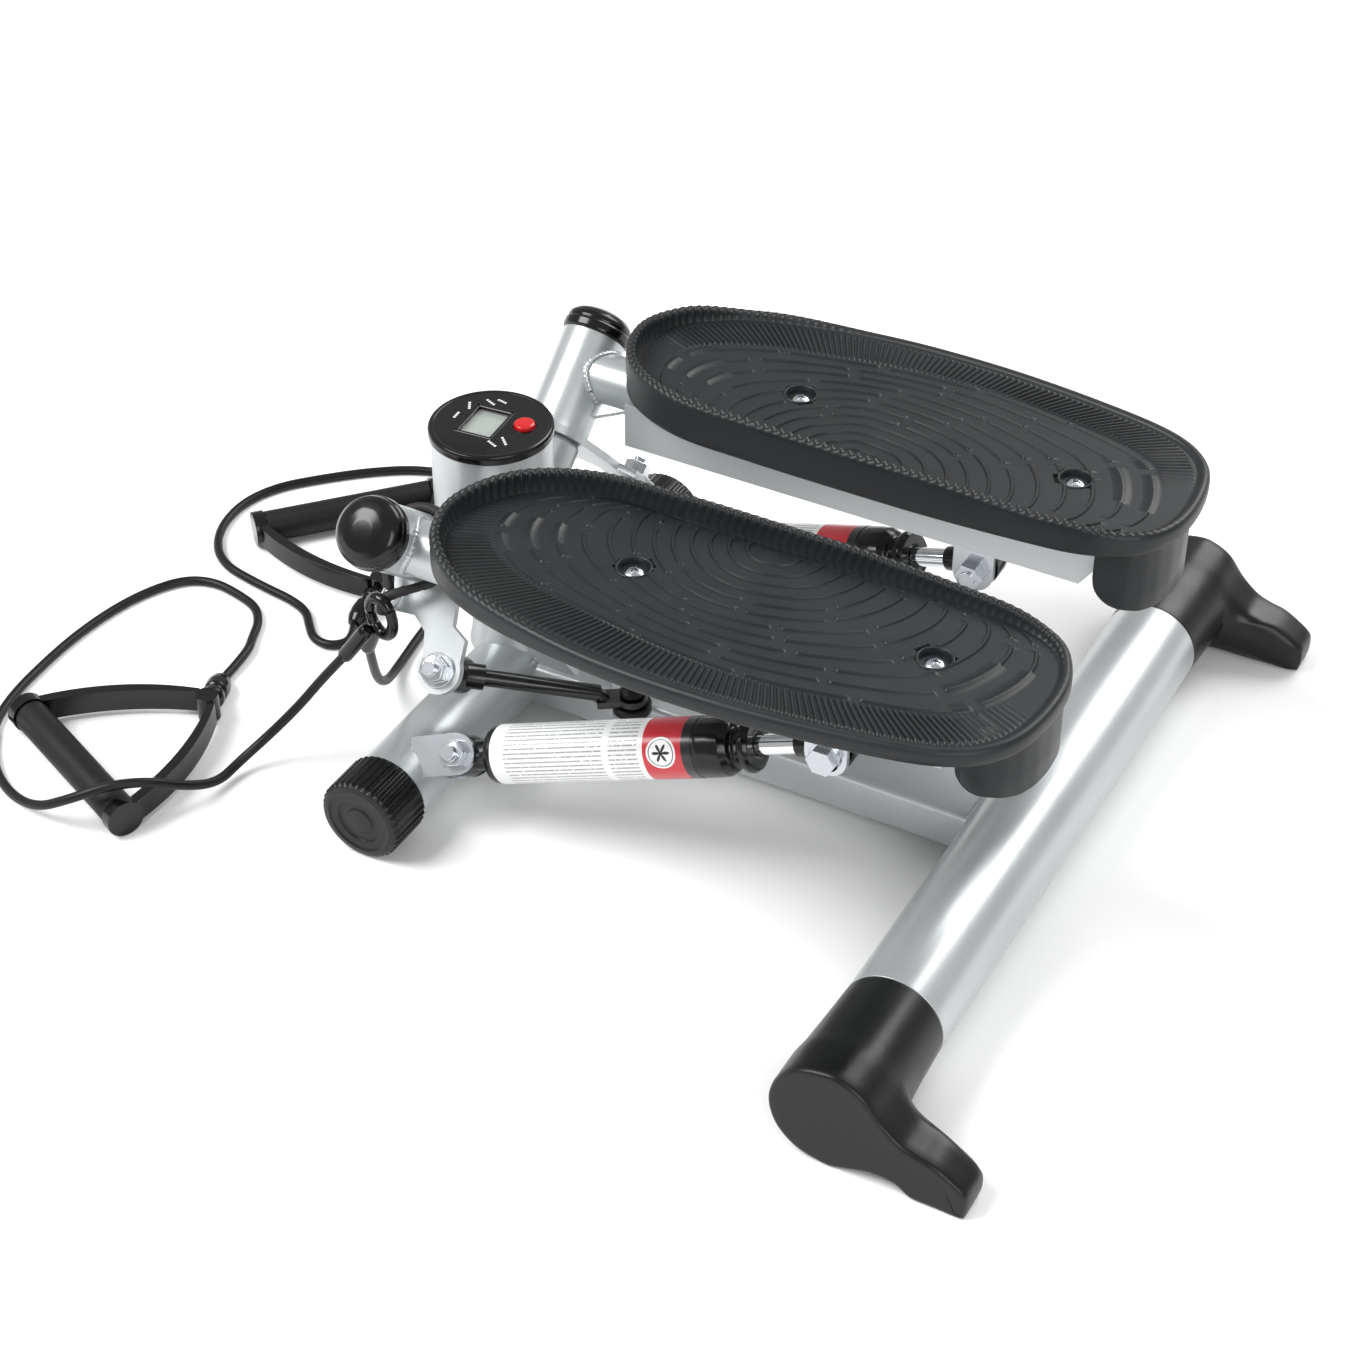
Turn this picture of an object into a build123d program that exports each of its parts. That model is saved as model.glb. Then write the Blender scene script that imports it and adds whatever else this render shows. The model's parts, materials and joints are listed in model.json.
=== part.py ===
from build123d import *
import os
from math import sin, cos, tan, radians, degrees, atan2, hypot, pi

# Mini swing stepper. Millimetres. +Y is forward (the way the user faces), +X is the user's right,
# +Z is up and the floor is Z = 0. X = 0 is the plane of symmetry of the machine.
# Positions below are measured from the point midway between the two cross tubes; the last
# function moves every piece by ORIGIN_Y so that the origin lies under the middle of everything
# that stands on the floor, hand grips included.
ORIGIN_Y = 74.53

# ---- frame ----
TUBE_GAP = 292.4           # rear cross tube axis to front cross tube axis
REAR_D = 50.0              # rear cross tube, outside
REAR_CAP_R = 28.0          # end cap at its outer face, also the height of the rear tube axis
REAR_WIDTH = 458.0         # rear tube with both caps
REAR_CAP_LEN = 70.0
TOE_T = 21.0               # width of the toe behind each rear cap
FRONT_D = 41.0
FRONT_CAP_R = 22.4
FRONT_WIDTH = 315.0
FRONT_CAP_LEN = 27.0
FRONT_RIBS = 36
TUBE_WALL = 2.0
BEAM_W = 43.0
BEAM_H = 24.5
BEAM_Z = 9.0               # underside of the beam
POST_D = 62.0
POST_Y = 160.0
POST_BOTTOM = 74.0
POST_TOP = 158.0
COLUMN_TOP_R = 21.0
COLUMN_FOOT_R = 24.0
COLUMN_Y = 150.0
GUSSET_X = 15.0
SPIGOT_GAP = 0.1           # plastic plug inside a tube

# ---- inclined pivots ----
LEAN = 50.0                # pivot axis from the vertical, towards the outside
APEX_Z = 71.3              # where both pivot axes meet, on the axis of the post
SHAFT_R = 10.0
SHAFT_END = 127.0          # distances along the pivot axis from the apex
SHAFT_COLLAR_R = 15.0
COLLAR_END = 76.5
SLEEVE_START = 81.0
SLEEVE_END = 135.0
SLEEVE_R = 17.0
SLEEVE_WALL = 2.5
BUSH_LEN = 15.0
BUSH_GAP = 0.05            # running fit on the shaft
CAP_R = 18.4
CAP_H = 15.0
STUB_S = 115.0             # where the stub tube leaves the sleeve
STUB_R = 14.0
RIB_REACH = 22.0             # rib under the stub, from the stub axis towards the post
LUG_GAP = 0.3              # between the shaft collar and the lug plate
LUG_DOWN = 55.0            # rod pin from the pivot axis, across the axis and downwards
LUG_BACK = 26.0            # rod pin from the pivot axis, towards the rear
ROD_PIN_R = 3.5

# ---- arms and pedals ----
BAR_X = 79.5
BAR_W = 57.0
BAR_H = 25.0
BAR_TOP = 160.0
BAR_FRONT = 112.0
BAR_REAR = -152.0
PEDAL_TOP = 174.0
PEDAL_FLOOR_T = 4.0
PEDAL_RIM_H = 8.0
PEDAL_WALL_T = 5.0
PEDAL_WALL_TOP = 183.0     # top of the raised inner and front wall
PEDAL_WALL_BOTTOM = 161.0
SKIRT_BOTTOM = 130.0
SKIRT_T = 3.5
BOLT_Y = (28.5, -122.5)
BOLT_X = (85.0, 81.0)
BOLT_HOLE_R = 7.5
BOLT_HEAD_R = 6.0
BOLT_R = 4.0
BOLT_PLAY = 0.3

# ---- dampers ----
DAMPER_FRONT = (103.9, 116.7, 38.3)
DAMPER_REAR = (82.5, -77.0, 108.0)
CYLINDER_R = 15.0
CYLINDER_START = 18.0      # distances along the damper from its front pivot
CYLINDER_END = 139.0
GLAND_END = 166.0
BORE_R = 13.2
PISTON_GAP = 0.1
ROD_R = 5.0
ROD_GAP = 0.05
EYE_R = 11.5
FRONT_EYE_R = 10.5
EYE_T = 11.0
EYE_PIN_R = 4.0
TILT_AXIS = (0.7208, 0.001, 0.6932)      # the right damper turns about this, near its bolt
EYE_PLAY = 2.6             # play of the rear eye, where the linkage is left open
FRONT_EYE_PLAY = 0.6
CLEVIS_GAP = 18.0
CLEVIS_T = 3.0
LEG_REACH = 24.0             # front bracket, from the pin towards the front tube

# ---- rocker and tie rods ----
ROCKER_Y = 84.0
ROCKER_ARM = 35.0          # rod ends beside the middle of the rocker
ROCKER_BACK = 24.0         # rod ends behind the rocker's pivot
ROCKER_Z = 36.0
ROCKER_T = 5.0
STUD_R = 5.0
ROD_BOLT_R = 3.0
PAD_R = 10.0
PAD_T = 5.0
ROD_END_T = 4.0
ROD_END_GAP = 0.8          # above and below each rod end
ROD_END_PLAY = 0.7
TIE_R = 4.3
BALL_R = 5.9
BALL_PLAY = 1.4            # play round the ball, where the linkage is left open
SOCKET_R = 9.5
TIE_STANDOFF = 11.0
ROD_AXIS = (0.1828, -0.1254, 0.9751)      # the right tie rod turns about this on the rocker

# ---- counter ----
COUNTER_R = 31.7
COUNTER_H = 4.6
COUNTER_ROOF = 2.6
COUNTER_TURN = 5.0
LCD_SIZE = (24.0, 18.0)
LCD_Y = 3.5
BUTTON_AT = (6.4, -16.0)
BUTTON_R = 5.5
BUTTON_GAP = 0.3

# ---- hand grips and bands ----
GRIP_LEN = 98.0
GRIP_R = 9.0
GRIP_END_R = 10.0
GRIP_END_T = 6.5
BOW_H = 13.0
BOW_T = 5.0
BOW_REACH = 78.0
KNUCKLE_R = 6.0
HANDLES = {"left": ((-177.0, 309.0), -24.0), "right": ((79.0, 314.5), -132.0)}
BAND_D = 5.0
BAND_Z = BAND_D / 2 + 0.2
PLUG_R = 6.5
PLUG_HEADING = {"left": 24.0, "right": 183.0}
PLUG_DIP = 0.22            # fall of each plug towards the floor
PLUG_LEN = 25.0
HOOK = (-93.0, 169.0, 101.0)
HOOK_R = 7.0
FERRULE_R = 4.0
STRAP_S = 87.0             # strap round the left sleeve, along the pivot axis
STRAP_GAP = 0.6
STRAP_T = 3.4
STRAP_W = 8.0

RIGHT = {}
LEFT = {}
SOLO = {}

REAR_Y = -TUBE_GAP / 2
FRONT_Y = TUBE_GAP / 2
LEAN_SIN = sin(radians(LEAN))
LEAN_COS = cos(radians(LEAN))
APEX = Vector(0, POST_Y, APEX_Z)
AXIS = Vector(LEAN_SIN, 0, LEAN_COS)          # right pivot axis, pointing out and up
ACROSS = Vector(LEAN_COS, 0, -LEAN_SIN)       # across the axis, pointing out and down
BEAM_TOP = BEAM_Z + BEAM_H


def along(distance):
    """Plane across the right pivot axis, local x out and down, local y forward."""
    return Plane(origin=APEX + AXIS * distance, x_dir=ACROSS, z_dir=AXIS)


def rod(start, end, radius):
    """Solid round bar between two points."""
    a = Vector(*start)
    b = Vector(*end)
    plane = Plane(origin=a, z_dir=b - a)
    return plane * Cylinder(radius, (b - a).length, align=(Align.CENTER, Align.CENTER, Align.MIN))


def turned(plane, profile):
    """Body of revolution: profile is a list of (radius, height) about the plane's z axis."""
    face = make_face(Polyline([(r, 0, h) for r, h in profile], close=True).edges())
    return plane * revolve(face, Axis.Z)


def disc(plane, radius, start, end, hole=0.0):
    """Washer or disc between two heights on a plane."""
    solid = Pos(0, 0, start) * Cylinder(radius, end - start, align=(Align.CENTER, Align.CENTER, Align.MIN))
    if hole:
        solid = solid - Pos(0, 0, start) * Cylinder(hole, end - start, align=(Align.CENTER, Align.CENTER, Align.MIN))
    return plane * solid


def hexagon(plane, across_flats, start, end):
    """Hexagon nut or bolt head between two heights on a plane."""
    face = RegularPolygon(across_flats / 2, 6, major_radius=False)
    return plane * (Pos(0, 0, start) * extrude(face, end - start))


def slab(plane, points, start, end):
    """Flat plate: an outline in the plane, between two heights."""
    face = make_face(Polyline(points, close=True).edges())
    return plane * (Pos(0, 0, start) * extrude(face, end - start))


def flip(shape):
    """The left-hand copy of a right-hand piece."""
    return mirror(shape, about=Plane.YZ)


def pair(name, shape):
    """A right-hand piece and its mirror image, each in a node of its own."""
    RIGHT[name] = shape
    LEFT[name] = flip(shape)


def group(*shapes):
    """Several separate solids in one node."""
    return Compound(children=[s for shape in shapes for s in shape.solids()])


# ---------------------------------------------------------------- frame
def cross_tube(y, z, diameter, length):
    axis = Plane(origin=(-length / 2, y, z), z_dir=(1, 0, 0))
    return disc(axis, diameter / 2, 0, length, diameter / 2 - TUBE_WALL)


def full_column():
    """Tapered column as far down as the middle of the front tube."""
    return turned(Plane(origin=(0, COLUMN_Y, 0)),
                  [(0, FRONT_CAP_R), (COLUMN_FOOT_R, FRONT_CAP_R), (COLUMN_TOP_R, POST_BOTTOM), (0, POST_BOTTOM)])


def make_frame():
    rear_len = REAR_WIDTH - 2 * REAR_CAP_LEN
    front_len = FRONT_WIDTH - 2 * FRONT_CAP_LEN
    SOLO["rear_tube"] = cross_tube(REAR_Y, REAR_CAP_R, REAR_D, rear_len)
    SOLO["front_tube"] = cross_tube(FRONT_Y, FRONT_CAP_R, FRONT_D, front_len)
    rear_solid = rod((-rear_len / 2, REAR_Y, REAR_CAP_R), (rear_len / 2, REAR_Y, REAR_CAP_R), REAR_D / 2)
    front_solid = rod((-front_len / 2, FRONT_Y, FRONT_CAP_R), (front_len / 2, FRONT_Y, FRONT_CAP_R), FRONT_D / 2)
    middle = BEAM_Z + BEAM_H / 2
    beam = Pos(0, 0, middle) * Box(BEAM_W, TUBE_GAP, BEAM_H)
    hollow = Pos(0, 0, middle) * Box(BEAM_W - 2 * TUBE_WALL, TUBE_GAP, BEAM_H - 2 * TUBE_WALL)
    SOLO["main_beam"] = beam - hollow - rear_solid - front_solid
    post_plane = Plane(origin=(0, POST_Y, 0))
    wall = POST_D / 2 - TUBE_WALL
    post = disc(post_plane, POST_D / 2, POST_BOTTOM, POST_TOP, wall)
    post = post + disc(post_plane, wall, POST_BOTTOM, POST_BOTTOM + 4)
    SOLO["centre_post"] = post
    column = full_column() - front_solid - beam
    SOLO["support_column"] = column.solids().sort_by(Axis.Z)[-1]


def make_rear_cap():
    """Plug in the tube, flared barrel, and a toe that reaches back along the floor."""
    inner = REAR_WIDTH / 2 - REAR_CAP_LEN
    plane = Plane(origin=(inner, REAR_Y, REAR_CAP_R), z_dir=(1, 0, 0))
    plug_r = REAR_D / 2 - TUBE_WALL - SPIGOT_GAP
    barrel = turned(plane, [(0, -16), (plug_r, -16), (plug_r, 0), (REAR_D / 2, 0), (REAR_CAP_R, REAR_CAP_LEN),
                            (0, REAR_CAP_LEN)])
    end = Plane(origin=(REAR_WIDTH / 2, 0, 0), x_dir=(0, -1, 0), z_dir=(-1, 0, 0))
    y = -REAR_Y
    with BuildSketch() as toe:
        with BuildLine():
            top = Polyline((y + 4, 54), (y + 16, 51), (y + 24, 44), (y + 34, 32), (y + 42, 28), (y + 52, 26),
                           (y + 65, 16), (y + 68.5, 12))
            Line(top @ 1, (y + 67, 0.0))
            Line((y + 67, 0.0), (y + 45, 0.0))
            ThreePointArc((y + 45, 0.0), (y + 30, 6.5), (y + 12, 2.0))
            Line((y + 12, 2.0), (y + 4, 4.0))
            Line((y + 4, 4.0), (y + 4, 54))
        make_face()
    return barrel + extrude(end * toe.sketch, TOE_T)


def make_front_cap():
    """Ribbed round cap, its ribs running along the tube."""
    inner = FRONT_WIDTH / 2 - FRONT_CAP_LEN
    plane = Plane(origin=(inner, FRONT_Y, FRONT_CAP_R), z_dir=(1, 0, 0))
    plug_r = FRONT_D / 2 - TUBE_WALL - SPIGOT_GAP
    depth = 1.1
    teeth = []
    for i in range(FRONT_RIBS):
        a = 2 * pi * i / FRONT_RIBS
        step = 2 * pi / FRONT_RIBS
        teeth.append((FRONT_CAP_R * cos(a), FRONT_CAP_R * sin(a)))
        teeth.append(((FRONT_CAP_R - depth) * cos(a + step / 2), (FRONT_CAP_R - depth) * sin(a + step / 2)))
    body = slab(plane, teeth, 0, FRONT_CAP_LEN - 4)
    rings = turned(plane, [(0, -14), (plug_r, -14), (plug_r, 0), (FRONT_CAP_R - 2, 0),
                           (FRONT_CAP_R - 2, FRONT_CAP_LEN - 2), (FRONT_CAP_R - 5, FRONT_CAP_LEN),
                           (0, FRONT_CAP_LEN)])
    return body + rings


def make_gusset():
    """Triangular plate between the column and the beam."""
    points = [(COLUMN_Y - 8, BEAM_TOP), (COLUMN_Y - 46, BEAM_TOP), (COLUMN_Y - 17, BEAM_TOP + 28),
              (COLUMN_Y - 8, BEAM_TOP + 28)]
    plane = Plane(origin=(GUSSET_X, 0, 0), x_dir=(0, 1, 0), z_dir=(1, 0, 0))
    front_solid = rod((-FRONT_WIDTH / 2, FRONT_Y, FRONT_CAP_R), (FRONT_WIDTH / 2, FRONT_Y, FRONT_CAP_R), FRONT_D / 2)
    return slab(plane, points, -2, 2) - full_column() - front_solid


# ---------------------------------------------------------------- pivots
def make_pivot():
    post = rod((0, POST_Y, POST_BOTTOM), (0, POST_Y, POST_TOP), POST_D / 2)
    buried = POST_D / 2 - 6
    shaft = disc(along(0), SHAFT_R, buried, SHAFT_END)
    collar = disc(along(0), SHAFT_COLLAR_R, buried, COLLAR_END)
    pair("pivot_shaft", shaft + collar - post)
    washer = disc(along(SHAFT_END), 11.4, 0.2, 2.2)
    head = hexagon(along(SHAFT_END), 13, 2.2, 7.5)
    retainer = washer + head
    SOLO["shaft_retainers"] = group(retainer, flip(retainer))

    inner = SLEEVE_R - SLEEVE_WALL
    pair("pivot_sleeve", disc(along(0), SLEEVE_R, SLEEVE_START, SLEEVE_END, inner))
    low = disc(along(SLEEVE_START), inner, 0, BUSH_LEN, SHAFT_R + BUSH_GAP)
    high = disc(along(SHAFT_END), inner, -BUSH_LEN, 0, SHAFT_R + BUSH_GAP)
    pair("pivot_bushes", group(low, high))
    plug = inner - SPIGOT_GAP
    dome = [(plug, 0), (CAP_R, 0), (CAP_R, 6.5), (CAP_R - 0.8, 8.0), (15.5, 10.8), (11.0, 13.0), (6.0, 14.4),
            (0, CAP_H), (0, CAP_H - 3), (6.0, 11.2), (12.2, 7.0), (12.2, -8), (plug, -8)]
    pair("dome_cap", turned(along(SLEEVE_END), dome))


def make_lug():
    """Curved plate from the lower end of the sleeve down to the tie rod pin."""
    plane = along(COLLAR_END + LUG_GAP)
    thick = SLEEVE_START - COLLAR_END - LUG_GAP
    ring = disc(plane, SLEEVE_R + 1.5, 0, thick)
    foot = disc(plane * Pos(LUG_DOWN, -LUG_BACK, 0), 12.0, 0, thick)
    neck = [(4, 18), (34, 8), (33, -4), (39, -12), (50, -15), (57, -37.5), (48, -36), (37, -35), (32, -26),
            (20, -24), (-6, -17)]
    plate = ring + slab(plane, neck, 0, thick) + foot
    hole = disc(plane, SHAFT_R + 0.5, -1, thick + 1)
    pin = plane * Pos(LUG_DOWN, -LUG_BACK, 0)
    pair("lug_plate", plate - hole - disc(pin, ROD_PIN_R + BOLT_PLAY, -1, thick + 1))
    stem = disc(pin, ROD_PIN_R, -TIE_STANDOFF, thick + 11)
    ball = pin * (Pos(0, 0, -TIE_STANDOFF) * Sphere(BALL_R))
    nut = hexagon(pin, 12.5, thick + 1.6, thick + 8)
    washer = disc(pin, 9.0, thick, thick + 1.6)
    pair("rod_pin", stem + ball + nut + washer)


def make_arm():
    sleeve = disc(along(0), SLEEVE_R, SLEEVE_START, SLEEVE_END)
    start = APEX + AXIS * STUB_S
    stub = rod(start, (start.X, BAR_FRONT, start.Z), STUB_R)
    core = rod((start.X, POST_Y - 4, start.Z), (start.X, BAR_FRONT, start.Z), STUB_R - TUBE_WALL)
    web = [(POST_Y - 8, STUB_R - 3), (POST_Y - 8, RIB_REACH), (POST_Y - 17, RIB_REACH), (BAR_FRONT + 8, STUB_R - 3)]
    rib_plane = Plane(origin=start - Vector(0, start.Y, 0), x_dir=(0, 1, 0), z_dir=(-LEAN_COS, 0, LEAN_SIN))
    rib = slab(rib_plane, web, -2, 2)
    pair("stub_tube", (stub + rib - core - sleeve).solids().sort_by(SortBy.VOLUME)[-1])

    length = BAR_FRONT - BAR_REAR
    middle = (BAR_FRONT + BAR_REAR) / 2
    bar = Pos(BAR_X, middle, BAR_TOP - BAR_H / 2) * Box(BAR_W, length, BAR_H)
    hollow = Pos(BAR_X, middle - 3, BAR_TOP - BAR_H / 2) * Box(BAR_W - 2 * TUBE_WALL, length, BAR_H - 2 * TUBE_WALL)
    bevel = slab(Plane(origin=(BAR_X, 0, 0), x_dir=(0, 1, 0), z_dir=(1, 0, 0)),
                 [(BAR_REAR - 1, BAR_TOP - BAR_H - 1), (BAR_REAR + 13, BAR_TOP - BAR_H - 1),
                  (BAR_REAR - 1, BAR_TOP - 6)], -BAR_W, BAR_W)
    bar = bar - hollow - bevel
    for x, y in zip(BOLT_X, BOLT_Y):
        bar = bar - rod((x, y, BAR_TOP - TUBE_WALL - 1), (x, y, BAR_TOP + 1), BOLT_R + BOLT_PLAY)
    pair("pedal_bar", bar)


# ---------------------------------------------------------------- pedals
def pedal_outline(inset=0.0):
    """Closed curve of the pedal's edge, moved inwards by the inset."""
    points = [(33, 30), (37, 78), (56, 112), (89, 127), (121, 117), (145, 80), (157, 15), (158, -50),
              (151, -112), (141, -153), (123, -175), (95, -183), (64, -181), (42, -165), (33, -128), (32, -50)]
    curve = Spline([(x, y) for x, y in points], periodic=True)
    if inset:
        moved = []
        for point in points:
            t = curve.param_at_point(Vector(*point))
            tangent = curve.tangent_at(t)
            side = Vector(-tangent.Y, tangent.X)
            centre = Vector(95, -30)
            if side.dot(centre - Vector(*point)) < 0:
                side = side * -1
            moved.append(Vector(*point) + side * inset)
        curve = Spline([(p.X, p.Y) for p in moved], periodic=True)
    return make_face(curve.edges())


def make_pedal():
    outer = pedal_outline()
    inner = pedal_outline(PEDAL_WALL_T)
    floor = Pos(0, 0, PEDAL_TOP - PEDAL_FLOOR_T) * extrude(outer, PEDAL_FLOOR_T)
    rim = Pos(0, 0, PEDAL_TOP - PEDAL_RIM_H) * extrude(outer - inner, PEDAL_RIM_H - PEDAL_FLOOR_T)
    tall = Pos(0, 0, PEDAL_WALL_BOTTOM) * extrude(outer - inner, PEDAL_WALL_TOP - PEDAL_WALL_BOTTOM)
    # the raised wall is kept along the inner side and round the front, and runs out in two slopes
    side = Plane(origin=(0, 0, 0), x_dir=(0, 1, 0), z_dir=(1, 0, 0))
    keep_inner = slab(side, [(-128, PEDAL_TOP), (-60, PEDAL_WALL_TOP), (140, PEDAL_WALL_TOP + 1),
                             (140, PEDAL_WALL_BOTTOM), (-110, PEDAL_WALL_BOTTOM), (-128, PEDAL_TOP - 6)], 20, 92)
    across = Plane(origin=(0, 90, 0), x_dir=(1, 0, 0), z_dir=(0, -1, 0))
    keep_front = slab(across, [(90, PEDAL_WALL_TOP + 1), (112, PEDAL_WALL_TOP - 1), (134, PEDAL_TOP),
                               (128, PEDAL_WALL_BOTTOM + 5), (90, PEDAL_WALL_BOTTOM)], -60, 0)
    wall = tall & (keep_inner + keep_front)
    skirt_plane = Plane(origin=(0, 0, SKIRT_BOTTOM))
    outline = [(46, -150), (47, -166), (58, -177), (80, -180), (100, -177), (111, -167), (113, -150)]
    inside = [(46 + SKIRT_T, -150), (47 + SKIRT_T, -164.5), (60, -173.5), (80, -180 + SKIRT_T), (98.5, -173.5),
              (111 - SKIRT_T, -165), (113 - SKIRT_T, -150)]
    with BuildSketch() as band:
        with BuildLine():
            rear = Spline(outline)
            front = Spline(inside)
            Line(rear @ 0, front @ 0)
            Line(rear @ 1, front @ 1)
        make_face()
    skirt = skirt_plane * extrude(band.sketch, PEDAL_TOP - PEDAL_FLOOR_T - SKIRT_BOTTOM)
    tray = floor + rim + wall + skirt
    for x, y in zip(BOLT_X, BOLT_Y):
        boss = rod((x, y, BAR_TOP), (x, y, PEDAL_TOP - PEDAL_FLOOR_T), BOLT_HOLE_R + 3)
        tray = tray + boss
        tray = tray - rod((x, y, PEDAL_TOP - 6.5), (x, y, PEDAL_TOP + 1), BOLT_HOLE_R)
        tray = tray - rod((x, y, BAR_TOP - 1), (x, y, PEDAL_TOP), BOLT_R + BOLT_PLAY)
    pair("pedal", tray)
    bolts = []
    for x, y in zip(BOLT_X, BOLT_Y):
        plane = Plane(origin=(x, y, 0))
        seat = PEDAL_TOP - 6.5
        shank = disc(plane, BOLT_R, BAR_TOP - TUBE_WALL - 9, seat)
        head = turned(plane, [(0, seat), (BOLT_HEAD_R, seat), (BOLT_HEAD_R, seat + 1.2), (4.6, seat + 3),
                              (2.4, seat + 3.9), (0, seat + 4.1)])
        nut = hexagon(plane, 13, BAR_TOP - TUBE_WALL - 6.5, BAR_TOP - TUBE_WALL)
        bolts.append(shank + head + nut)
    pair("pedal_bolts", group(*bolts))


# ---------------------------------------------------------------- dampers
def make_damper():
    front = Vector(*DAMPER_FRONT)
    rear = Vector(*DAMPER_REAR)
    line = (rear - front).normalized()
    length = (rear - front).length
    flat = AXIS - line * AXIS.dot(line)
    plane = Plane(origin=front, x_dir=flat, z_dir=line)

    body = turned(plane, [(BORE_R, CYLINDER_START + 3), (BORE_R, CYLINDER_END), (CYLINDER_R, CYLINDER_END),
                          (CYLINDER_R, CYLINDER_START + 2.5), (CYLINDER_R - 2.5, CYLINDER_START), (0, CYLINDER_START),
                          (0, CYLINDER_START + 3)])
    eye_plane = Plane(origin=front, x_dir=line, z_dir=plane.x_dir)
    eye = disc(eye_plane, FRONT_EYE_R, -EYE_T / 2, EYE_T / 2)
    shank = eye_plane * (Pos(CYLINDER_START / 2, 0, 0) * Box(CYLINDER_START, 2 * FRONT_EYE_R - 4, EYE_T))
    hole = disc(Plane(origin=front, z_dir=TILT_AXIS), EYE_PIN_R + FRONT_EYE_PLAY, -EYE_T, EYE_T)
    pair("damper_cylinder", body + ((eye + shank) - hole))

    gap = ROD_R + ROD_GAP
    gland = [(gap, CYLINDER_END - 12), (BORE_R - 0.05, CYLINDER_END - 12), (BORE_R - 0.05, CYLINDER_END),
             (CYLINDER_R, CYLINDER_END), (CYLINDER_R - 0.8, CYLINDER_END + 12), (11.0, CYLINDER_END + 15),
             (9.8, CYLINDER_END + 17), (9.8, CYLINDER_END + 19), (13.0, CYLINDER_END + 21),
             (13.4, GLAND_END - 2), (12.0, GLAND_END), (gap, GLAND_END)]
    pair("damper_gland", turned(plane, gland))

    rod_start = CYLINDER_START + 50
    shaft = turned(plane, [(0, rod_start), (BORE_R - PISTON_GAP, rod_start), (BORE_R - PISTON_GAP, rod_start + 14),
                           (ROD_R, rod_start + 14), (ROD_R, length - 20), (6.5, length - 20),
                           (6.5, length - 9), (0, length - 9)])
    rear_plane = Plane(origin=rear, x_dir=(line - Vector(1, 0, 0) * line.X), z_dir=(1, 0, 0))
    rear_eye = disc(rear_plane, EYE_R, -EYE_T / 2, EYE_T / 2) - disc(rear_plane, EYE_PIN_R + EYE_PLAY, -EYE_T, EYE_T)
    clear = disc(rear_plane, EYE_PIN_R + EYE_PLAY, -EYE_T, EYE_T)
    pair("piston_rod", shaft + rear_eye - clear)

    # front bracket: a U on the front tube, its legs across the pin
    pin_axis = AXIS
    leg = Plane(origin=front, x_dir=(Vector(0, FRONT_Y - front.Y, FRONT_CAP_R - front.Z)
                                     - AXIS * (FRONT_CAP_R - front.Z) * LEAN_COS).normalized(), z_dir=pin_axis)
    reach = hypot(FRONT_Y - front.Y, FRONT_CAP_R - front.Z)
    legs = []
    for start in (CLEVIS_GAP / 2, -CLEVIS_GAP / 2 - CLEVIS_T):
        tongue = disc(leg, 10.5, start, start + CLEVIS_T)
        plate = leg * (Pos(reach / 2, 0, start + CLEVIS_T / 2) * Box(reach, 21, CLEVIS_T))
        legs.append(tongue + plate)
    base = leg * (Pos(FRONT_EYE_R + 3.6, 0, 0) * Box(5, 21, CLEVIS_GAP + 2 * CLEVIS_T))
    bracket = legs[0] + legs[1] + base
    tube = rod((-FRONT_WIDTH / 2, FRONT_Y, FRONT_CAP_R), (FRONT_WIDTH / 2, FRONT_Y, FRONT_CAP_R), FRONT_D / 2)
    beyond = leg * (Pos(LEG_REACH + 20, 0, 0) * Box(40, 80, 80))
    bracket = bracket - disc(leg, EYE_PIN_R + BOLT_PLAY, -40, 40) - tube - beyond
    bracket = bracket.solids().sort_by(SortBy.VOLUME)[-1]
    half = CLEVIS_GAP / 2 + CLEVIS_T
    bolt = disc(leg, EYE_PIN_R, -half - 5, half + 9) + hexagon(leg, 13, half, half + 5.5)
    bolt = bolt + hexagon(leg, 13, -half - 5, -half)
    SOLO["damper_brackets"] = group(bracket, flip(bracket))
    SOLO["bracket_bolts"] = group(bolt, flip(bolt))

    # rear clevis: a U under the pedal bar, its legs across X
    under = BAR_TOP - BAR_H
    cross = Plane(origin=rear, x_dir=(0, 1, 0), z_dir=(1, 0, 0))
    parts = None
    for start in (CLEVIS_GAP / 2, -CLEVIS_GAP / 2 - CLEVIS_T):
        tongue = disc(cross, 11, start, start + CLEVIS_T)
        plate = cross * (Pos(0, (under - rear.Z) / 2, start + CLEVIS_T / 2) * Box(22, under - rear.Z, CLEVIS_T))
        parts = tongue + plate if parts is None else parts + tongue + plate
    roof = cross * (Pos(0, under - rear.Z - CLEVIS_T / 2, 0) * Box(22, CLEVIS_T, CLEVIS_GAP + 2 * CLEVIS_T))
    pair("clevis", parts + roof - disc(cross, EYE_PIN_R + BOLT_PLAY, -40, 40))
    pin = disc(cross, EYE_PIN_R, -half - 8, half + 5) + disc(cross, 8, half, half + 1.5)
    pin = pin + hexagon(cross, 13, half + 1.5, half + 6) + hexagon(cross, 13, -half - 6.5, -half)
    pair("clevis_pin", pin)


# ---------------------------------------------------------------- rocker
def rocker_ends():
    """Planes at the two rod ends, which stand behind the rocker's pivot."""
    return [Plane(origin=(x, ROCKER_Y - ROCKER_BACK, 0)) for x in (-ROCKER_ARM, ROCKER_ARM)]


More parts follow.
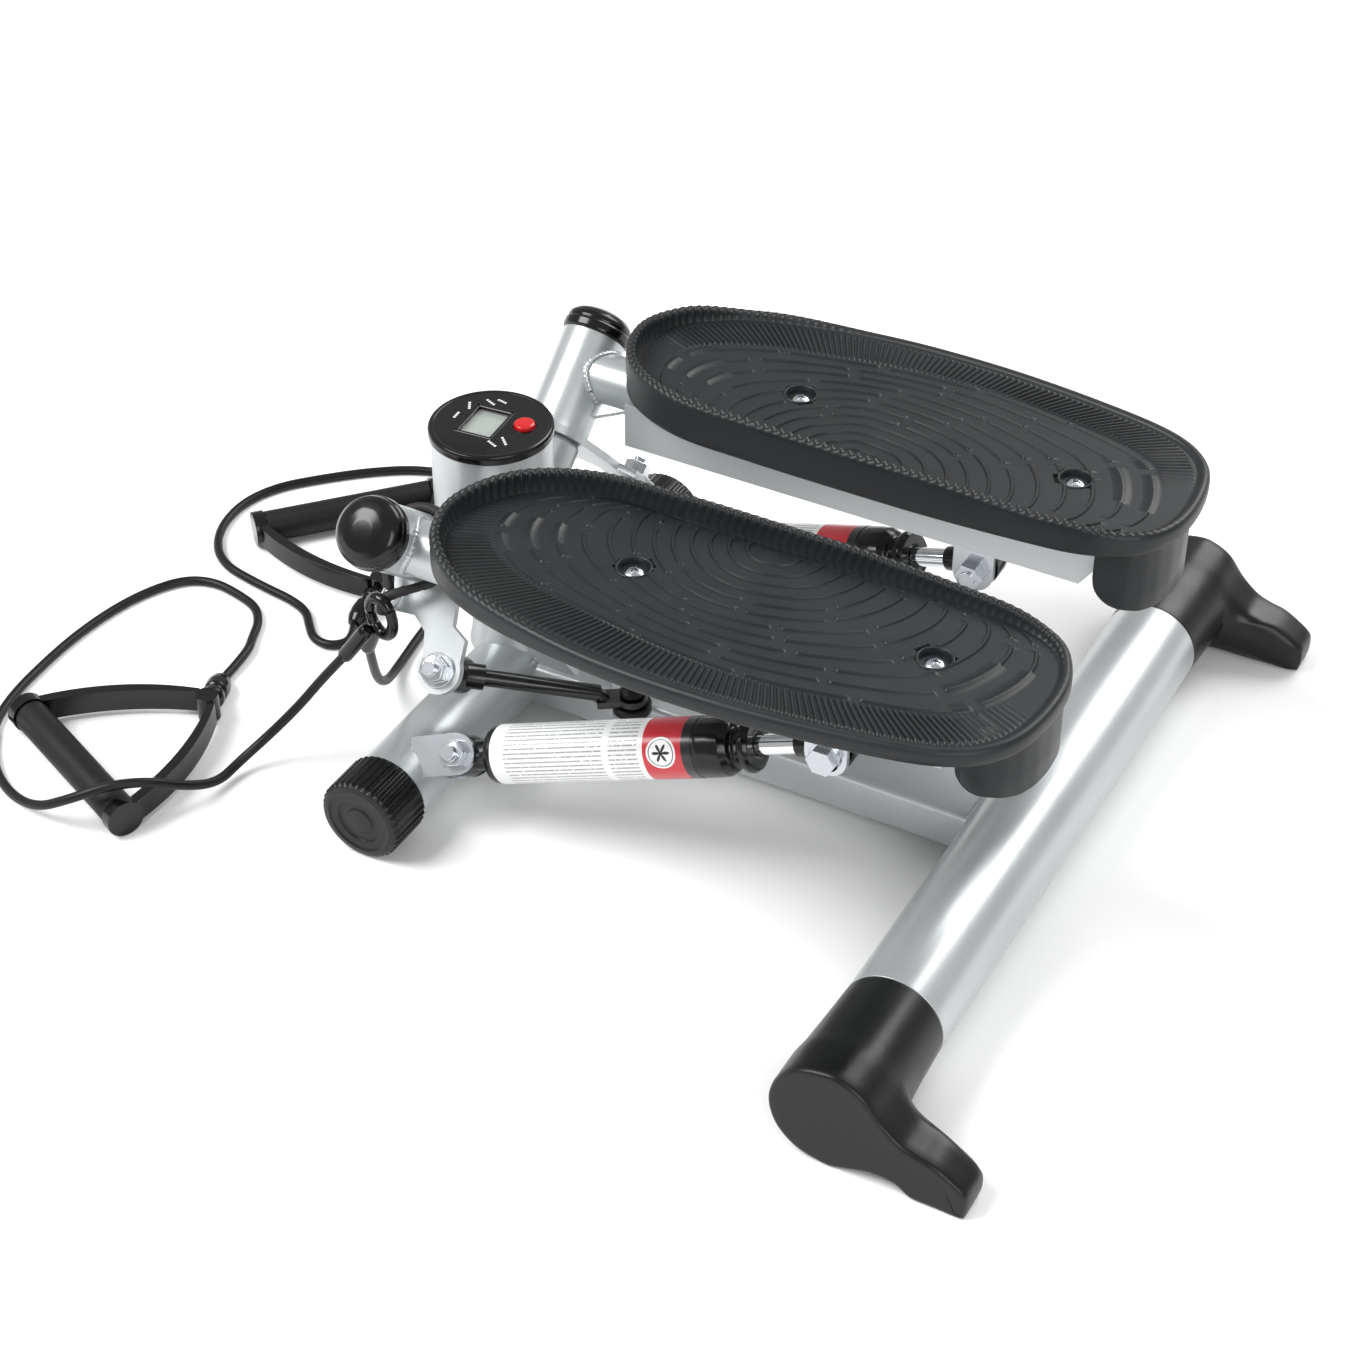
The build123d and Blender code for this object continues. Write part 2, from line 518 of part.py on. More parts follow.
def make_rocker():
    plane = Plane(origin=(0, ROCKER_Y, 0))
    top = ROCKER_Z + ROCKER_T
    plate = disc(plane, PAD_R + 2, ROCKER_Z, top)
    for at in rocker_ends():
        lever = (at.origin - plane.origin).normalized()
        reach = hypot(ROCKER_ARM, ROCKER_BACK)
        beam = Plane(origin=plane.origin, x_dir=lever, z_dir=(0, 0, 1))
        plate = plate + beam * (Pos(reach / 2, 0, ROCKER_Z + ROCKER_T / 2) * Box(reach, 2 * PAD_R - 2, ROCKER_T))
        plate = plate + disc(at, PAD_R, ROCKER_Z, top)
    SOLO["rocker_arm"] = plate - disc(plane, STUD_R + BUSH_GAP, ROCKER_Z - 1, top + 1)
    pads = []
    for at in rocker_ends():
        pad = disc(at, PAD_R, top, top + PAD_T)
        seat = top + PAD_T + ROD_END_T + 2 * ROD_END_GAP
        post = disc(at, ROD_BOLT_R, top + PAD_T, seat)
        head = turned(at, [(0, seat), (6.5, seat), (6.2, seat + 2), (3.5, seat + 4), (0, seat + 4.6)])
        pads.append(pad + post + head)
    SOLO["rocker_pads"] = group(*pads)
    stud = disc(plane, STUD_R + 4, BEAM_TOP, ROCKER_Z - 0.2) + disc(plane, STUD_R, BEAM_TOP, top + 0.3)
    stud = stud + hexagon(plane, 16, top + 0.3, top + 6)
    SOLO["rocker_pivot"] = stud


def make_tie_rod():
    """Flat rod end on the rocker, straight rod, and a socket round the ball beside the lug plate."""
    at = rocker_ends()[1]
    height = ROCKER_Z + ROCKER_T + PAD_T + ROD_END_GAP + ROD_END_T / 2
    rear = at.origin + Vector(0, 0, height)
    front = APEX + AXIS * (COLLAR_END + LUG_GAP - TIE_STANDOFF) + ACROSS * LUG_DOWN - Vector(0, LUG_BACK, 0)
    line = (front - rear).normalized()
    level = Vector(line.X, line.Y, 0).normalized()
    ball = Plane(origin=front, z_dir=AXIS)
    flat = Plane(origin=rear, x_dir=level, z_dir=(0, 0, 1))
    body = disc(ball, SOCKET_R, -SOCKET_R, 5.0)
    body = body + rod(front - line * 16, front - line * 4, 6.5)
    body = body + rod(rear + line * 17, front - line * 12, TIE_R)
    body = body + disc(flat, 8.0, -ROD_END_T / 2, ROD_END_T / 2)
    body = body + flat * (Pos(9, 0, 0) * Box(18, 11, ROD_END_T))
    body = body + rod(rear + level * 14, rear + line * 20, 4.0)
    body = body - ball * Sphere(BALL_R + BALL_PLAY) - disc(ball, BALL_R - 0.3, 0, 8)
    pair("tie_rod", body - disc(Plane(origin=rear, z_dir=ROD_AXIS), ROD_BOLT_R + ROD_END_PLAY, -12, 12))


# ---------------------------------------------------------------- counter
def make_counter():
    plane = Plane(origin=(0, POST_Y, POST_TOP)) * Rot(0, 0, COUNTER_TURN)
    wall = POST_D / 2 - TUBE_WALL - SPIGOT_GAP
    roof = COUNTER_H - COUNTER_ROOF
    shell = turned(plane, [(0, roof), (wall - 2, roof), (wall - 2, -16), (wall, -16), (wall, 0), (COUNTER_R, 0),
                           (COUNTER_R, COUNTER_H - 1), (COUNTER_R - 1, COUNTER_H), (0, COUNTER_H)])
    board_top = roof - 5.2
    for x, y in ((-19, -11), (19, -11), (0, 22)):
        shell = shell + plane * (Pos(x, y, 0) * disc(Plane.XY, 1.5, board_top, roof))
    wide, deep = LCD_SIZE
    x, y = BUTTON_AT
    button_plane = Plane(origin=(x, POST_Y + y, POST_TOP))
    shell = shell - plane * (Pos(0, LCD_Y, COUNTER_H) * Box(wide, deep, 2 * COUNTER_ROOF))
    SOLO["display_cap"] = shell - disc(button_plane, BUTTON_R + BUTTON_GAP, roof - 1, COUNTER_H + 1)
    SOLO["display_lens"] = plane * (Pos(0, LCD_Y, roof + 0.6) * Box(wide - 0.2, deep - 0.2, 1.2))
    SOLO["lcd_screen"] = plane * (Pos(0, LCD_Y, roof - 0.8) * Box(wide + 2, deep + 2, 1.6))
    SOLO["circuit_board"] = disc(plane, wall - 2.5, board_top - 1.6, board_top)
    SOLO["battery_cell"] = plane * (Pos(8, 8, 0) * disc(Plane.XY, 6.0, board_top - 5.2, board_top - 1.6))
    flange = roof - 0.1
    SOLO["reset_button"] = turned(button_plane, [(0, flange - 1.2), (BUTTON_R + 1.2, flange - 1.2),
                                                 (BUTTON_R + 1.2, flange), (BUTTON_R, flange),
                                                 (BUTTON_R, COUNTER_H + 0.8), (BUTTON_R - 1, COUNTER_H + 1.6),
                                                 (0, COUNTER_H + 1.9)])


# ---------------------------------------------------------------- hand grips and bands
def handle_plane(side):
    (x, y), heading = HANDLES[side]
    return Plane(origin=(x, y, 0)) * Rot(0, 0, heading)


def make_handles():
    grips = []
    for side in ("left", "right"):
        base = handle_plane(side)
        axis = Plane(origin=(0, 0, GRIP_END_R), x_dir=(1, 0, 0), z_dir=(0, 1, 0))
        grip = base * disc(axis, GRIP_R, -GRIP_LEN / 2, GRIP_LEN / 2)
        grips.append(grip)
        bow = None
        for sign in (-1, 1):
            near = sign * GRIP_LEN / 2
            far = sign * (GRIP_LEN / 2 + GRIP_END_T)
            end = base * disc(axis, GRIP_END_R, min(near, far), max(near, far))
            outside = sign * (GRIP_LEN / 2 + GRIP_END_T)
            with BuildSketch() as strip:
                with BuildLine():
                    a = ThreePointArc((0, outside), (45, sign * 37), (BOW_REACH, sign * 8))
                    b = ThreePointArc((0, outside - sign * BOW_T), (42.5, sign * (37 - BOW_T)), (BOW_REACH, sign * 3))
                    Line(a @ 0, b @ 0)
                    Line(a @ 1, b @ 1)
                make_face()
            limb = base * (Pos(0, 0, GRIP_END_R - BOW_H / 2) * extrude(strip.sketch, BOW_H))
            bow = end + limb if bow is None else bow + end + limb
        knuckle = base * (Pos(BOW_REACH, 0, GRIP_END_R) * Cylinder(KNUCKLE_R, BOW_H + 2))
        SOLO["handle_bow_" + side] = bow + knuckle - base * disc(axis, GRIP_R + 0.1, -GRIP_LEN / 2, GRIP_LEN / 2)
    SOLO["handle_grips"] = group(*grips)


def hub_point(side, distance):
    """Point in front of the knuckle where the two limbs of a bow meet, towards the band."""
    (x, y), heading = HANDLES[side]
    toward = radians(PLUG_HEADING[side])
    hub = Vector(x + BOW_REACH * cos(radians(heading)), y + BOW_REACH * sin(radians(heading)), GRIP_END_R)
    return hub + Vector(cos(toward), sin(toward), -PLUG_DIP).normalized() * distance


# Routes of the bands from plug to hook: the first point of each is worked out from the handle
BAND_LEFT = [(-53, 291, BAND_Z + 1.5), (-39, 298, BAND_Z), (-26, 303, BAND_Z), (-15, 313, BAND_Z),
             (-10, 329, BAND_Z), (-7, 347, BAND_Z), (-13, 363, BAND_Z), (-31, 374, BAND_Z), (-55, 381, BAND_Z),
             (-85, 384, BAND_Z), (-115, 383, BAND_Z), (-143, 380, BAND_Z), (-168, 372, BAND_Z),
             (-189, 355, BAND_Z), (-205, 332, BAND_Z), (-213, 306, BAND_Z + 5), (-209, 284, 20),
             (-198, 268, 27), (-184, 254, 25), (-168, 244, 14), (-150, 239, 5), (-132, 238, BAND_Z + 4),
             (-118, 229, 17), (-108, 215, 35), (-102, 201, 56), (-99, 188, 73)]
BAND_RIGHT = [(-15, 248, BAND_Z), (-25, 256, BAND_Z), (-24, 268, BAND_Z), (-15, 277, BAND_Z),
              (-5, 286, BAND_Z), (0, 300, BAND_Z), (2, 316, BAND_Z), (5, 334, BAND_Z), (9, 351, BAND_Z),
              (20, 366, BAND_Z), (40, 377, BAND_Z), (65, 380, BAND_Z), (88, 372, BAND_Z), (108, 354, BAND_Z),
              (127, 334, BAND_Z), (143, 311, BAND_Z), (150, 285, BAND_Z), (143, 260, BAND_Z),
              (124, 241, BAND_Z), (98, 231, BAND_Z), (68, 226, BAND_Z), (38, 222, BAND_Z), (8, 219, BAND_Z),
              (-20, 214, BAND_Z), (-44, 206, 10), (-62, 198, 27), (-76, 190, 50), (-86, 184, 71)]


def corner_radii(points):
    """0.45 of the shorter run at each corner, divided by the tangent of half the turn."""
    radii = []
    for a, b, c in zip(points, points[1:], points[2:]):
        before = Vector(*b) - Vector(*a)
        after = Vector(*c) - Vector(*b)
        turn = radians(before.get_angle(after))
        radii.append(0.45 * min(before.length, after.length) / tan(turn / 2))
    return radii


def make_band(name, points):
    radii = corner_radii(points)
    path = FilletPolyline(*points, radius=radii)
    start = Plane(origin=path @ 0, z_dir=path % 0)
    tube = sweep(start * Circle(BAND_D / 2), path=path)
    expected = pi * BAND_D ** 2 / 4 * path.length
    print(name, "length", round(path.length, 1), "volume ratio", round(tube.volume / expected, 4))
    print("  radii", [round(r, 1) for r in radii])
    SOLO[name] = tube
    return path


def make_bands():
    plugs = []
    for side, points in (("left", BAND_LEFT), ("right", BAND_RIGHT)):
        start = hub_point(side, KNUCKLE_R + PLUG_LEN)
        points.insert(0, (start.X, start.Y, start.Z))
        make_band("band_" + side, points)
        touch = hub_point(side, KNUCKLE_R)
        plug = turned(Plane(origin=touch, z_dir=start - touch),
                      [(0, -3), (PLUG_R - 2, -3), (PLUG_R - 2, 0), (PLUG_R, 3), (PLUG_R, PLUG_LEN - 3),
                       (PLUG_R - 2, PLUG_LEN), (0, PLUG_LEN)])
        plugs.append(plug - SOLO["handle_bow_" + side] - SOLO["band_" + side])
    SOLO["band_plugs"] = group(*plugs)
    centre = Vector(*HOOK)
    hook = Pos(*HOOK) * Sphere(HOOK_R)
    for points in (BAND_LEFT, BAND_RIGHT):
        last = Vector(*points[-1])
        hook = hook + rod(last, centre - (centre - last).normalized(), FERRULE_R)
    SOLO["band_hook"] = hook
    plane = along(STRAP_S)
    inner = SLEEVE_R + STRAP_GAP
    ring = disc(plane, inner + STRAP_T, -STRAP_W / 2, STRAP_W / 2)
    target = flip(Pos(*HOOK) * Sphere(HOOK_R - 0.5)).center()
    down = plane.to_local_coords(target)
    reach = hypot(down.X, down.Y)
    aim = plane * Rot(0, 0, degrees(atan2(down.Y, down.X)))
    tail = aim * (Pos(reach / 2, 0, 0) * Box(reach, STRAP_W, STRAP_W))
    strap = ring + tail - disc(plane, inner, -20, 20)
    SOLO["strap_loop"] = flip(strap) - Pos(*HOOK) * Sphere(HOOK_R)


# ---------------------------------------------------------------- build
make_frame()
cap = make_rear_cap()
SOLO["rear_caps"] = group(cap, flip(cap))
ribbed = make_front_cap()
SOLO["front_caps"] = group(ribbed, flip(ribbed))
plate = make_gusset()
SOLO["post_gussets"] = group(plate, flip(plate))
make_pivot()
make_lug()
make_arm()
make_pedal()
make_damper()
make_rocker()
make_tie_rod()
make_counter()
make_handles()
make_bands()

os.makedirs("parts", exist_ok=True)
nodes = dict(SOLO)
for name, shape in RIGHT.items():
    nodes[name + "_right"] = shape
for name, shape in LEFT.items():
    nodes[name + "_left"] = shape
for name, shape in nodes.items():
    export_step(Pos(0, -ORIGIN_Y, 0) * shape, "parts/" + name + ".step")
print(len(nodes), "nodes")
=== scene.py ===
# %% [markdown]
# # A mini swing stepper
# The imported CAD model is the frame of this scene: every part has its place and its body there.
# Each visible part gets a finished surface worked out with numpy, or a softened copy of the CAD
# part where that shape is right already, and every surface gets a material made of nodes.

# %% Load the frame
import json
import math

import bmesh
import bpy
import numpy as np
from mathutils import Matrix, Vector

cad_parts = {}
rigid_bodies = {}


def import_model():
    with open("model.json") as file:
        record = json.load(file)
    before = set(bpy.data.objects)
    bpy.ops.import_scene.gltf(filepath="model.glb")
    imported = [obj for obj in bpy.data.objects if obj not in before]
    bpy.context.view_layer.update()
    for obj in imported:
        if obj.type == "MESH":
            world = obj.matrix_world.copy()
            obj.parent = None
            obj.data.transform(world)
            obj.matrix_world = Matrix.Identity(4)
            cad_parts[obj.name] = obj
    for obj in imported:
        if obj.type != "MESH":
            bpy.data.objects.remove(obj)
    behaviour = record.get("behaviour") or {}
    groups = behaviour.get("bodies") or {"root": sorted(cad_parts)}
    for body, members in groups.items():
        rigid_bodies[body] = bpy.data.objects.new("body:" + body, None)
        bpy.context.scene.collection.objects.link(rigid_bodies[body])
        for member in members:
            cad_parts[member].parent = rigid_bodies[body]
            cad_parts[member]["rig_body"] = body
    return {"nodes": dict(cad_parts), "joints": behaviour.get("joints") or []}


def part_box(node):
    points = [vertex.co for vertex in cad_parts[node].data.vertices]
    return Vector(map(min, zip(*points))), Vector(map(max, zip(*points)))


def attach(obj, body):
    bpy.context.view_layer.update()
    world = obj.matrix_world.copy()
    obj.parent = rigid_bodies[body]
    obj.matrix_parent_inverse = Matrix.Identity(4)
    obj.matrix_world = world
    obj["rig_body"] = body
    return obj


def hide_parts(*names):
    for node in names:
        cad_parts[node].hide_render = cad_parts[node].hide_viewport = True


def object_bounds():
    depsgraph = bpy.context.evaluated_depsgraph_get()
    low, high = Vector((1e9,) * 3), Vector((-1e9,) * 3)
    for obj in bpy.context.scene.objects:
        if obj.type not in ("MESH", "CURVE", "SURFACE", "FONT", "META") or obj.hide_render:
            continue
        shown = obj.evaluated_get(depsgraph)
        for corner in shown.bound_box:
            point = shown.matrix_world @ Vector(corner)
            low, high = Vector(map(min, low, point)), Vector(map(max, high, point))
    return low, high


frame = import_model()
cad_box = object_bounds()
nodes = frame["nodes"]
joints = {joint["name"]: joint for joint in frame["joints"]}
MM = 0.001
print("CAD box", cad_box)

# %% [markdown]
# ## Where things are
# The drawing's zero is midway between the two cross tubes, on the floor, so the shift from the
# drawing to the frame is read from those tubes. `at` turns millimetres of the drawing into metres.

# %% Places
rear_low, rear_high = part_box("rear_tube")
front_low, front_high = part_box("front_tube")
SHIFT_Y = (rear_low.y + rear_high.y + front_low.y + front_high.y) / 4
APEX = np.array(joints["right_arm_swing"]["pos_m"])
AXIS = np.array(joints["right_arm_swing"]["axis"])
ACROSS = np.array([AXIS[2], 0.0, -AXIS[0]])
FORWARD = np.array([0.0, 1.0, 0.0])
UP = np.array([0.0, 0.0, 1.0])
SIDES = (("left", -1.0), ("right", 1.0))


def at(x, y, z):
    """Point of the drawing in millimetres, as metres in the frame."""
    return np.array([x * MM, y * MM + SHIFT_Y, z * MM])


def on_pivot(s, e1=0.0, e2=0.0):
    """Point s mm out along the right pivot axis, e1 across it and down, e2 forward."""
    return APEX + (AXIS * s + ACROSS * e1 + FORWARD * e2) * MM


print("apex", APEX, "shift", round(SHIFT_Y, 5))

# %% [markdown]
# ## Camera
# A long lens from behind the left-hand side, looking down on the machine. It comes before the bands.

# %% Camera
CAMERA_AT = at(-972.7, -488.4, 913.1)
CAMERA_AZIMUTH = -61.8
CAMERA_ELEVATION = 38.19
CAMERA_ROLL = 0.31

camera_data = bpy.data.cameras.new("camera")
camera_data.lens = 73.24
camera_data.sensor_width = 36.0
camera_data.shift_x = -0.0286
camera_data.shift_y = 0.0066
camera = bpy.data.objects.new("camera", camera_data)
bpy.context.scene.collection.objects.link(camera)
bpy.context.scene.camera = camera
turn = Matrix.Rotation(math.radians(CAMERA_AZIMUTH), 4, "Z")
tilt = Matrix.Rotation(math.radians(90 - CAMERA_ELEVATION), 4, "X")
roll = Matrix.Rotation(math.radians(CAMERA_ROLL), 4, "Z")
camera.matrix_world = Matrix.Translation(CAMERA_AT.tolist()) @ turn @ tilt @ roll
print("camera", CAMERA_AT)

# %% [markdown]
# ## Materials: the helpers
# `linear` turns a screen colour into the linear value a shader wants. `add` puts one node into a
# material with its settings and links.

# %% Material helpers
def linear(hex_colour):
    """sRGB hex to linear: values up to 0.04045 are divided by 12.92, the rest follow a 2.4 power."""
    c = np.array([int(hex_colour[i:i + 2], 16) for i in (0, 2, 4)]) / 255.0
    rgb = np.where(c <= 0.04045, c / 12.92, ((c + 0.055) / 1.055) ** 2.4)
    return (*rgb.tolist(), 1.0)


def add(tree, kind, inputs=None, **settings):
    """One node: settings are its properties, inputs its sockets, by name or number, as values or links."""
    node = tree.nodes.new(kind)
    for key, value in settings.items():
        setattr(node, key, value)
    for key, value in (inputs or {}).items():
        if isinstance(value, bpy.types.NodeSocket):
            tree.links.new(value, node.inputs[key])
        else:
            node.inputs[key].default_value = value
    return node


def new_material(name, **shader):
    """A material with one Principled shader, its values set on the shader's own sockets."""
    material = bpy.data.materials.new(name)
    material.use_nodes = True
    tree = material.node_tree
    bsdf = tree.nodes["Principled BSDF"]
    for key, value in shader.items():
        bsdf.inputs[key.replace("_", " ")].default_value = value
    return material, tree, bsdf


def object_place(tree):
    return add(tree, "ShaderNodeTexCoord").outputs["Object"]


def patchy(tree, bsdf, place, colours, size_mm, rough=None, detail=4.0):
    """Cloudy variation: noise of the given size mixes two near colours and shifts the roughness."""
    noise = add(tree, "ShaderNodeTexNoise", {"Vector": place, "Scale": 1000.0 / size_mm, "Detail": detail})
    mix = add(tree, "ShaderNodeMix", {"Factor": noise.outputs["Fac"], "A": linear(colours[0]),
                                      "B": linear(colours[1])}, data_type="RGBA")
    tree.links.new(mix.outputs["Result"], bsdf.inputs["Base Color"])
    if rough:
        spread = add(tree, "ShaderNodeMapRange", {"Value": noise.outputs["Fac"], "From Min": 0.3,
                                                  "From Max": 0.7, "To Min": rough[0], "To Max": rough[1]})
        tree.links.new(spread.outputs["Result"], bsdf.inputs["Roughness"])
    return mix


def grain(tree, bsdf, place, size_mm, height_mm, before=None):
    """Fine surface grain: noise of the given size as bump of the given height."""
    noise = add(tree, "ShaderNodeTexNoise", {"Vector": place, "Scale": 1000.0 / size_mm, "Detail": 3.0})
    bump = add(tree, "ShaderNodeBump", {"Height": noise.outputs["Fac"], "Distance": height_mm * MM,
                                        "Strength": 1.0})
    if before:
        tree.links.new(before, bump.inputs["Normal"])
    tree.links.new(bump.outputs["Normal"], bsdf.inputs["Normal"])
    return bump


# %% [markdown]
# ## Materials: metals
# The frame is mild steel under silver powder coat: a satin skin with fine flake and the faint
# orange peel of a baked coat. Nuts and brackets are zinc plated, with a bluish shine, and the
# plungers are hard chrome.

# %% Metals
silver, tree, bsdf = new_material("silver_powder_coat", Metallic=0.62, Roughness=0.34, Coat_Weight=0.15,
                                  Coat_Roughness=0.3)
place = object_place(tree)
patchy(tree, bsdf, place, ("B4B8B9", "C3C7C8"), 60.0, (0.30, 0.38))
grain(tree, bsdf, place, 1.6, 0.02)

zinc, tree, bsdf = new_material("bright_zinc_plate", Metallic=1.0, Roughness=0.27)
place = object_place(tree)
patchy(tree, bsdf, place, ("C6CACE", "D0D3D7"), 30.0, (0.2, 0.26))
grain(tree, bsdf, place, 4.0, 0.006)

chrome, tree, bsdf = new_material("hard_chrome", Metallic=1.0, Roughness=0.07)
place = object_place(tree)
patchy(tree, bsdf, place, ("DCDEE0", "EDEFF0"), 20.0, (0.05, 0.1))

bronze, tree, bsdf = new_material("sintered_bronze", Metallic=1.0, Roughness=0.45)
patchy(tree, bsdf, object_place(tree), ("A8803F", "B98F4C"), 2.0)
print("metals made")

# %% [markdown]
# ## Materials: plastics, rubber and print
# The footboards are moulded in dark grey glass-filled nylon with a fine spark-eroded grain. Caps
# are black polypropylene, the dome caps and glands glossier. The bands are latex tube, the grips
# foam.

# %% Plastics and rubber
def plastic(name, colours, rough, grain_mm, grain_height, **shader):
    material, tree, bsdf = new_material(name, **shader)
    place = object_place(tree)
    patchy(tree, bsdf, place, colours, 25.0, rough)
    grain(tree, bsdf, place, grain_mm, grain_height)
    return material


gloss_black = plastic("moulded_black_abs", ("050506", "0A0B0C"), (0.14, 0.22), 3.0, 0.01,
                      Specular_IOR_Level=0.4)
cap_black = plastic("black_polypropylene", ("090A0B", "0F1011"), (0.3, 0.4), 0.9, 0.03,
                    Specular_IOR_Level=0.35)
latex = plastic("black_latex_tube", ("070808", "0B0C0C"), (0.36, 0.5), 1.2, 0.03, Specular_IOR_Level=0.3)
foam = plastic("black_grip_foam", ("090A0A", "101111"), (0.45, 0.6), 1.4, 0.08, Specular_IOR_Level=0.3)
webbing = plastic("black_webbing", ("0C0C0D", "151516"), (0.6, 0.75), 0.8, 0.12)
red_abs = plastic("red_abs", ("B3141A", "BF1C20"), (0.2, 0.28), 2.0, 0.01)
steel_black = plastic("black_stoved_enamel", ("0A0B0C", "121315"), (0.18, 0.26), 2.5, 0.02)
print("plastics made")

# %% [markdown]
# ## Surfaces: the helpers
# A surface is a grid of points: rows along the piece, columns around it. `faces_of` makes the
# faces between neighbours, closes the last column onto the first, and fills the two end rings.
# Rows that shrink to a point become poles when their doubles are merged.

# %% Surface helpers
def faces_of(rows, columns, first=0):
    """Four-sided faces between neighbouring rows and columns; the last column meets the first."""
    i, j = np.meshgrid(np.arange(rows - 1), np.arange(columns), indexing="ij")
    k = (j + 1) % columns
    quads = np.stack([i * columns + j, i * columns + k, (i + 1) * columns + k, (i + 1) * columns + j], -1)
    ends = [list(range(columns))[::-1], [(rows - 1) * columns + c for c in range(columns)]]
    return [[v + first for v in face] for face in quads.reshape(-1, 4).tolist() + ends]


def volume_of(grid):
    """Signed volume inside a closed grid: a sixth of the sum of a . (b x c) over its triangles,
    with each end ring closed to its middle."""
    p = grid - grid.reshape(-1, 3).mean(0)
    low, high = (np.broadcast_to(p[end].mean(0), p[:1].shape) for end in (0, -1))
    p = np.concatenate([low, p, high])
    a = p[:-1]
    b = np.roll(p, -1, 1)[:-1]
    c = np.roll(p, -1, 1)[1:]
    d = p[1:]
    return (np.sum(a * np.cross(b, c)) + np.sum(a * np.cross(c, d))) / 6


def make_piece(name, grids, body, material, slot, stands_for=(), sharp=38.0, bevel=0.0):
    """One object from closed grids. A grid whose volume comes out negative is wound the other way
    round, so that every face looks outwards."""
    points = []
    faces = []
    for grid in grids:
        grid = grid if volume_of(grid) > 0 else grid[:, ::-1]
        faces += faces_of(grid.shape[0], grid.shape[1], sum(len(p) for p in points))
        points.append(grid.reshape(-1, 3))
    mesh = bpy.data.meshes.new(name)
    mesh.from_pydata(np.concatenate(points).tolist(), [], faces)
    return finish_piece(name, mesh, body, material, stands_for, sharp, bevel)


def finish_piece(name, mesh, body, material, stands_for=(), sharp=38.0, bevel=0.0):
    work = bmesh.new()
    work.from_mesh(mesh)
    bmesh.ops.remove_doubles(work, verts=work.verts, dist=2e-6)
    work.to_mesh(mesh)
    work.free()
    mesh.polygons.foreach_set("use_smooth", np.ones(len(mesh.polygons), bool))
    mesh.set_sharp_from_angle(angle=math.radians(sharp))
    piece = bpy.data.objects.new(name, mesh)
    bpy.context.scene.collection.objects.link(piece)
    mesh.materials.append(material)
    if bevel:
        soften = piece.modifiers.new("soft edges", "BEVEL")
        soften.width = bevel * MM
        soften.segments = 2
        soften.limit_method = "ANGLE"
        soften.angle_limit = math.radians(sharp)
    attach(piece, body)
    if stands_for:
        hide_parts(*stands_for)
    return piece


def softened(node, material, width):
    """A copy of a CAD part with its triangles merged and its edges rounded."""
    mesh = nodes[node].data.copy()
    mesh.materials.clear()
    work = bmesh.new()
    work.from_mesh(mesh)
    bmesh.ops.remove_doubles(work, verts=work.verts, dist=1e-6)
    bmesh.ops.dissolve_limit(work, angle_limit=math.radians(1.0), verts=work.verts, edges=work.edges)
    work.to_mesh(mesh)
    work.free()
    return finish_piece(node + "_skin", mesh, nodes[node]["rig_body"], material, (node,), 32.0, width)


def frame_of(direction):
    """Two unit vectors square to a direction and to each other."""
    w = np.asarray(direction, float) / np.linalg.norm(direction)
    helper = FORWARD if abs(w @ FORWARD) < 0.9 else UP
    u = np.cross(helper, w)
    u /= np.linalg.norm(u)
    return u, np.cross(w, u), w


def rounded(profile, radius, steps=5):
    """Each inner corner of a profile is replaced by a short curve that starts and ends at most
    radius from it, and not past 45% of the shorter side."""
    p = np.asarray(profile, float)
    before = p[:-2] - p[1:-1]
    after = p[2:] - p[1:-1]
    lb = np.linalg.norm(before, axis=1, keepdims=True)
    la = np.linalg.norm(after, axis=1, keepdims=True)
    cut = np.minimum(radius, 0.45 * np.minimum(lb, la))
    a = p[1:-1] + before / lb * cut
    b = p[1:-1] + after / la * cut
    t = np.linspace(0, 1, steps)[None, :, None]
    arcs = (1 - t) ** 2 * a[:, None] + 2 * t * (1 - t) * p[1:-1, None] + t ** 2 * b[:, None]
    return np.concatenate([p[:1], arcs.reshape(-1, 2), p[-1:]])


def lathe(profile, origin, direction, turns=72, soft=0.6, shape=None):
    """Radius and height in mm carried round an axis: origin + height along the axis, plus radius
    times cosine and sine across it. shape may change the radius with the angle."""
    p = rounded(profile, soft) if soft else np.asarray(profile, float)
    u, v, w = frame_of(direction)
    a = np.linspace(0, 2 * math.pi, turns, endpoint=False)
    r = p[:, 0:1] * np.ones_like(a) if shape is None else shape(p[:, 0:1], a[None, :], p[:, 1:2])
    ring = r[..., None] * (np.cos(a)[None, :, None] * u + np.sin(a)[None, :, None] * v)
    return np.asarray(origin) + (ring + p[:, 1][:, None, None] * w) * MM


def mirrored(grids, sign):
    """The right-hand surface, or its mirror image on the left."""
    return [grid * np.array([sign, 1.0, 1.0]) for grid in grids]


def both(name, grids, body, material, slot, node=None, **more):
    """A piece on each side; body and node get the side's name."""
    for side, sign in SIDES:
        stands_for = (node + "_" + side,) if node else ()
        make_piece(name + "_" + side, mirrored(grids, sign), body.replace("*", side), material, slot,
                   stands_for, **more)


# %% [markdown]
# ## Bands
# Each band is latex tube 5 mm thick that leaves its plug, lies on the floor in loose curves and
# rises to the hook. The route's points are the control points of one smooth NURBS curve.

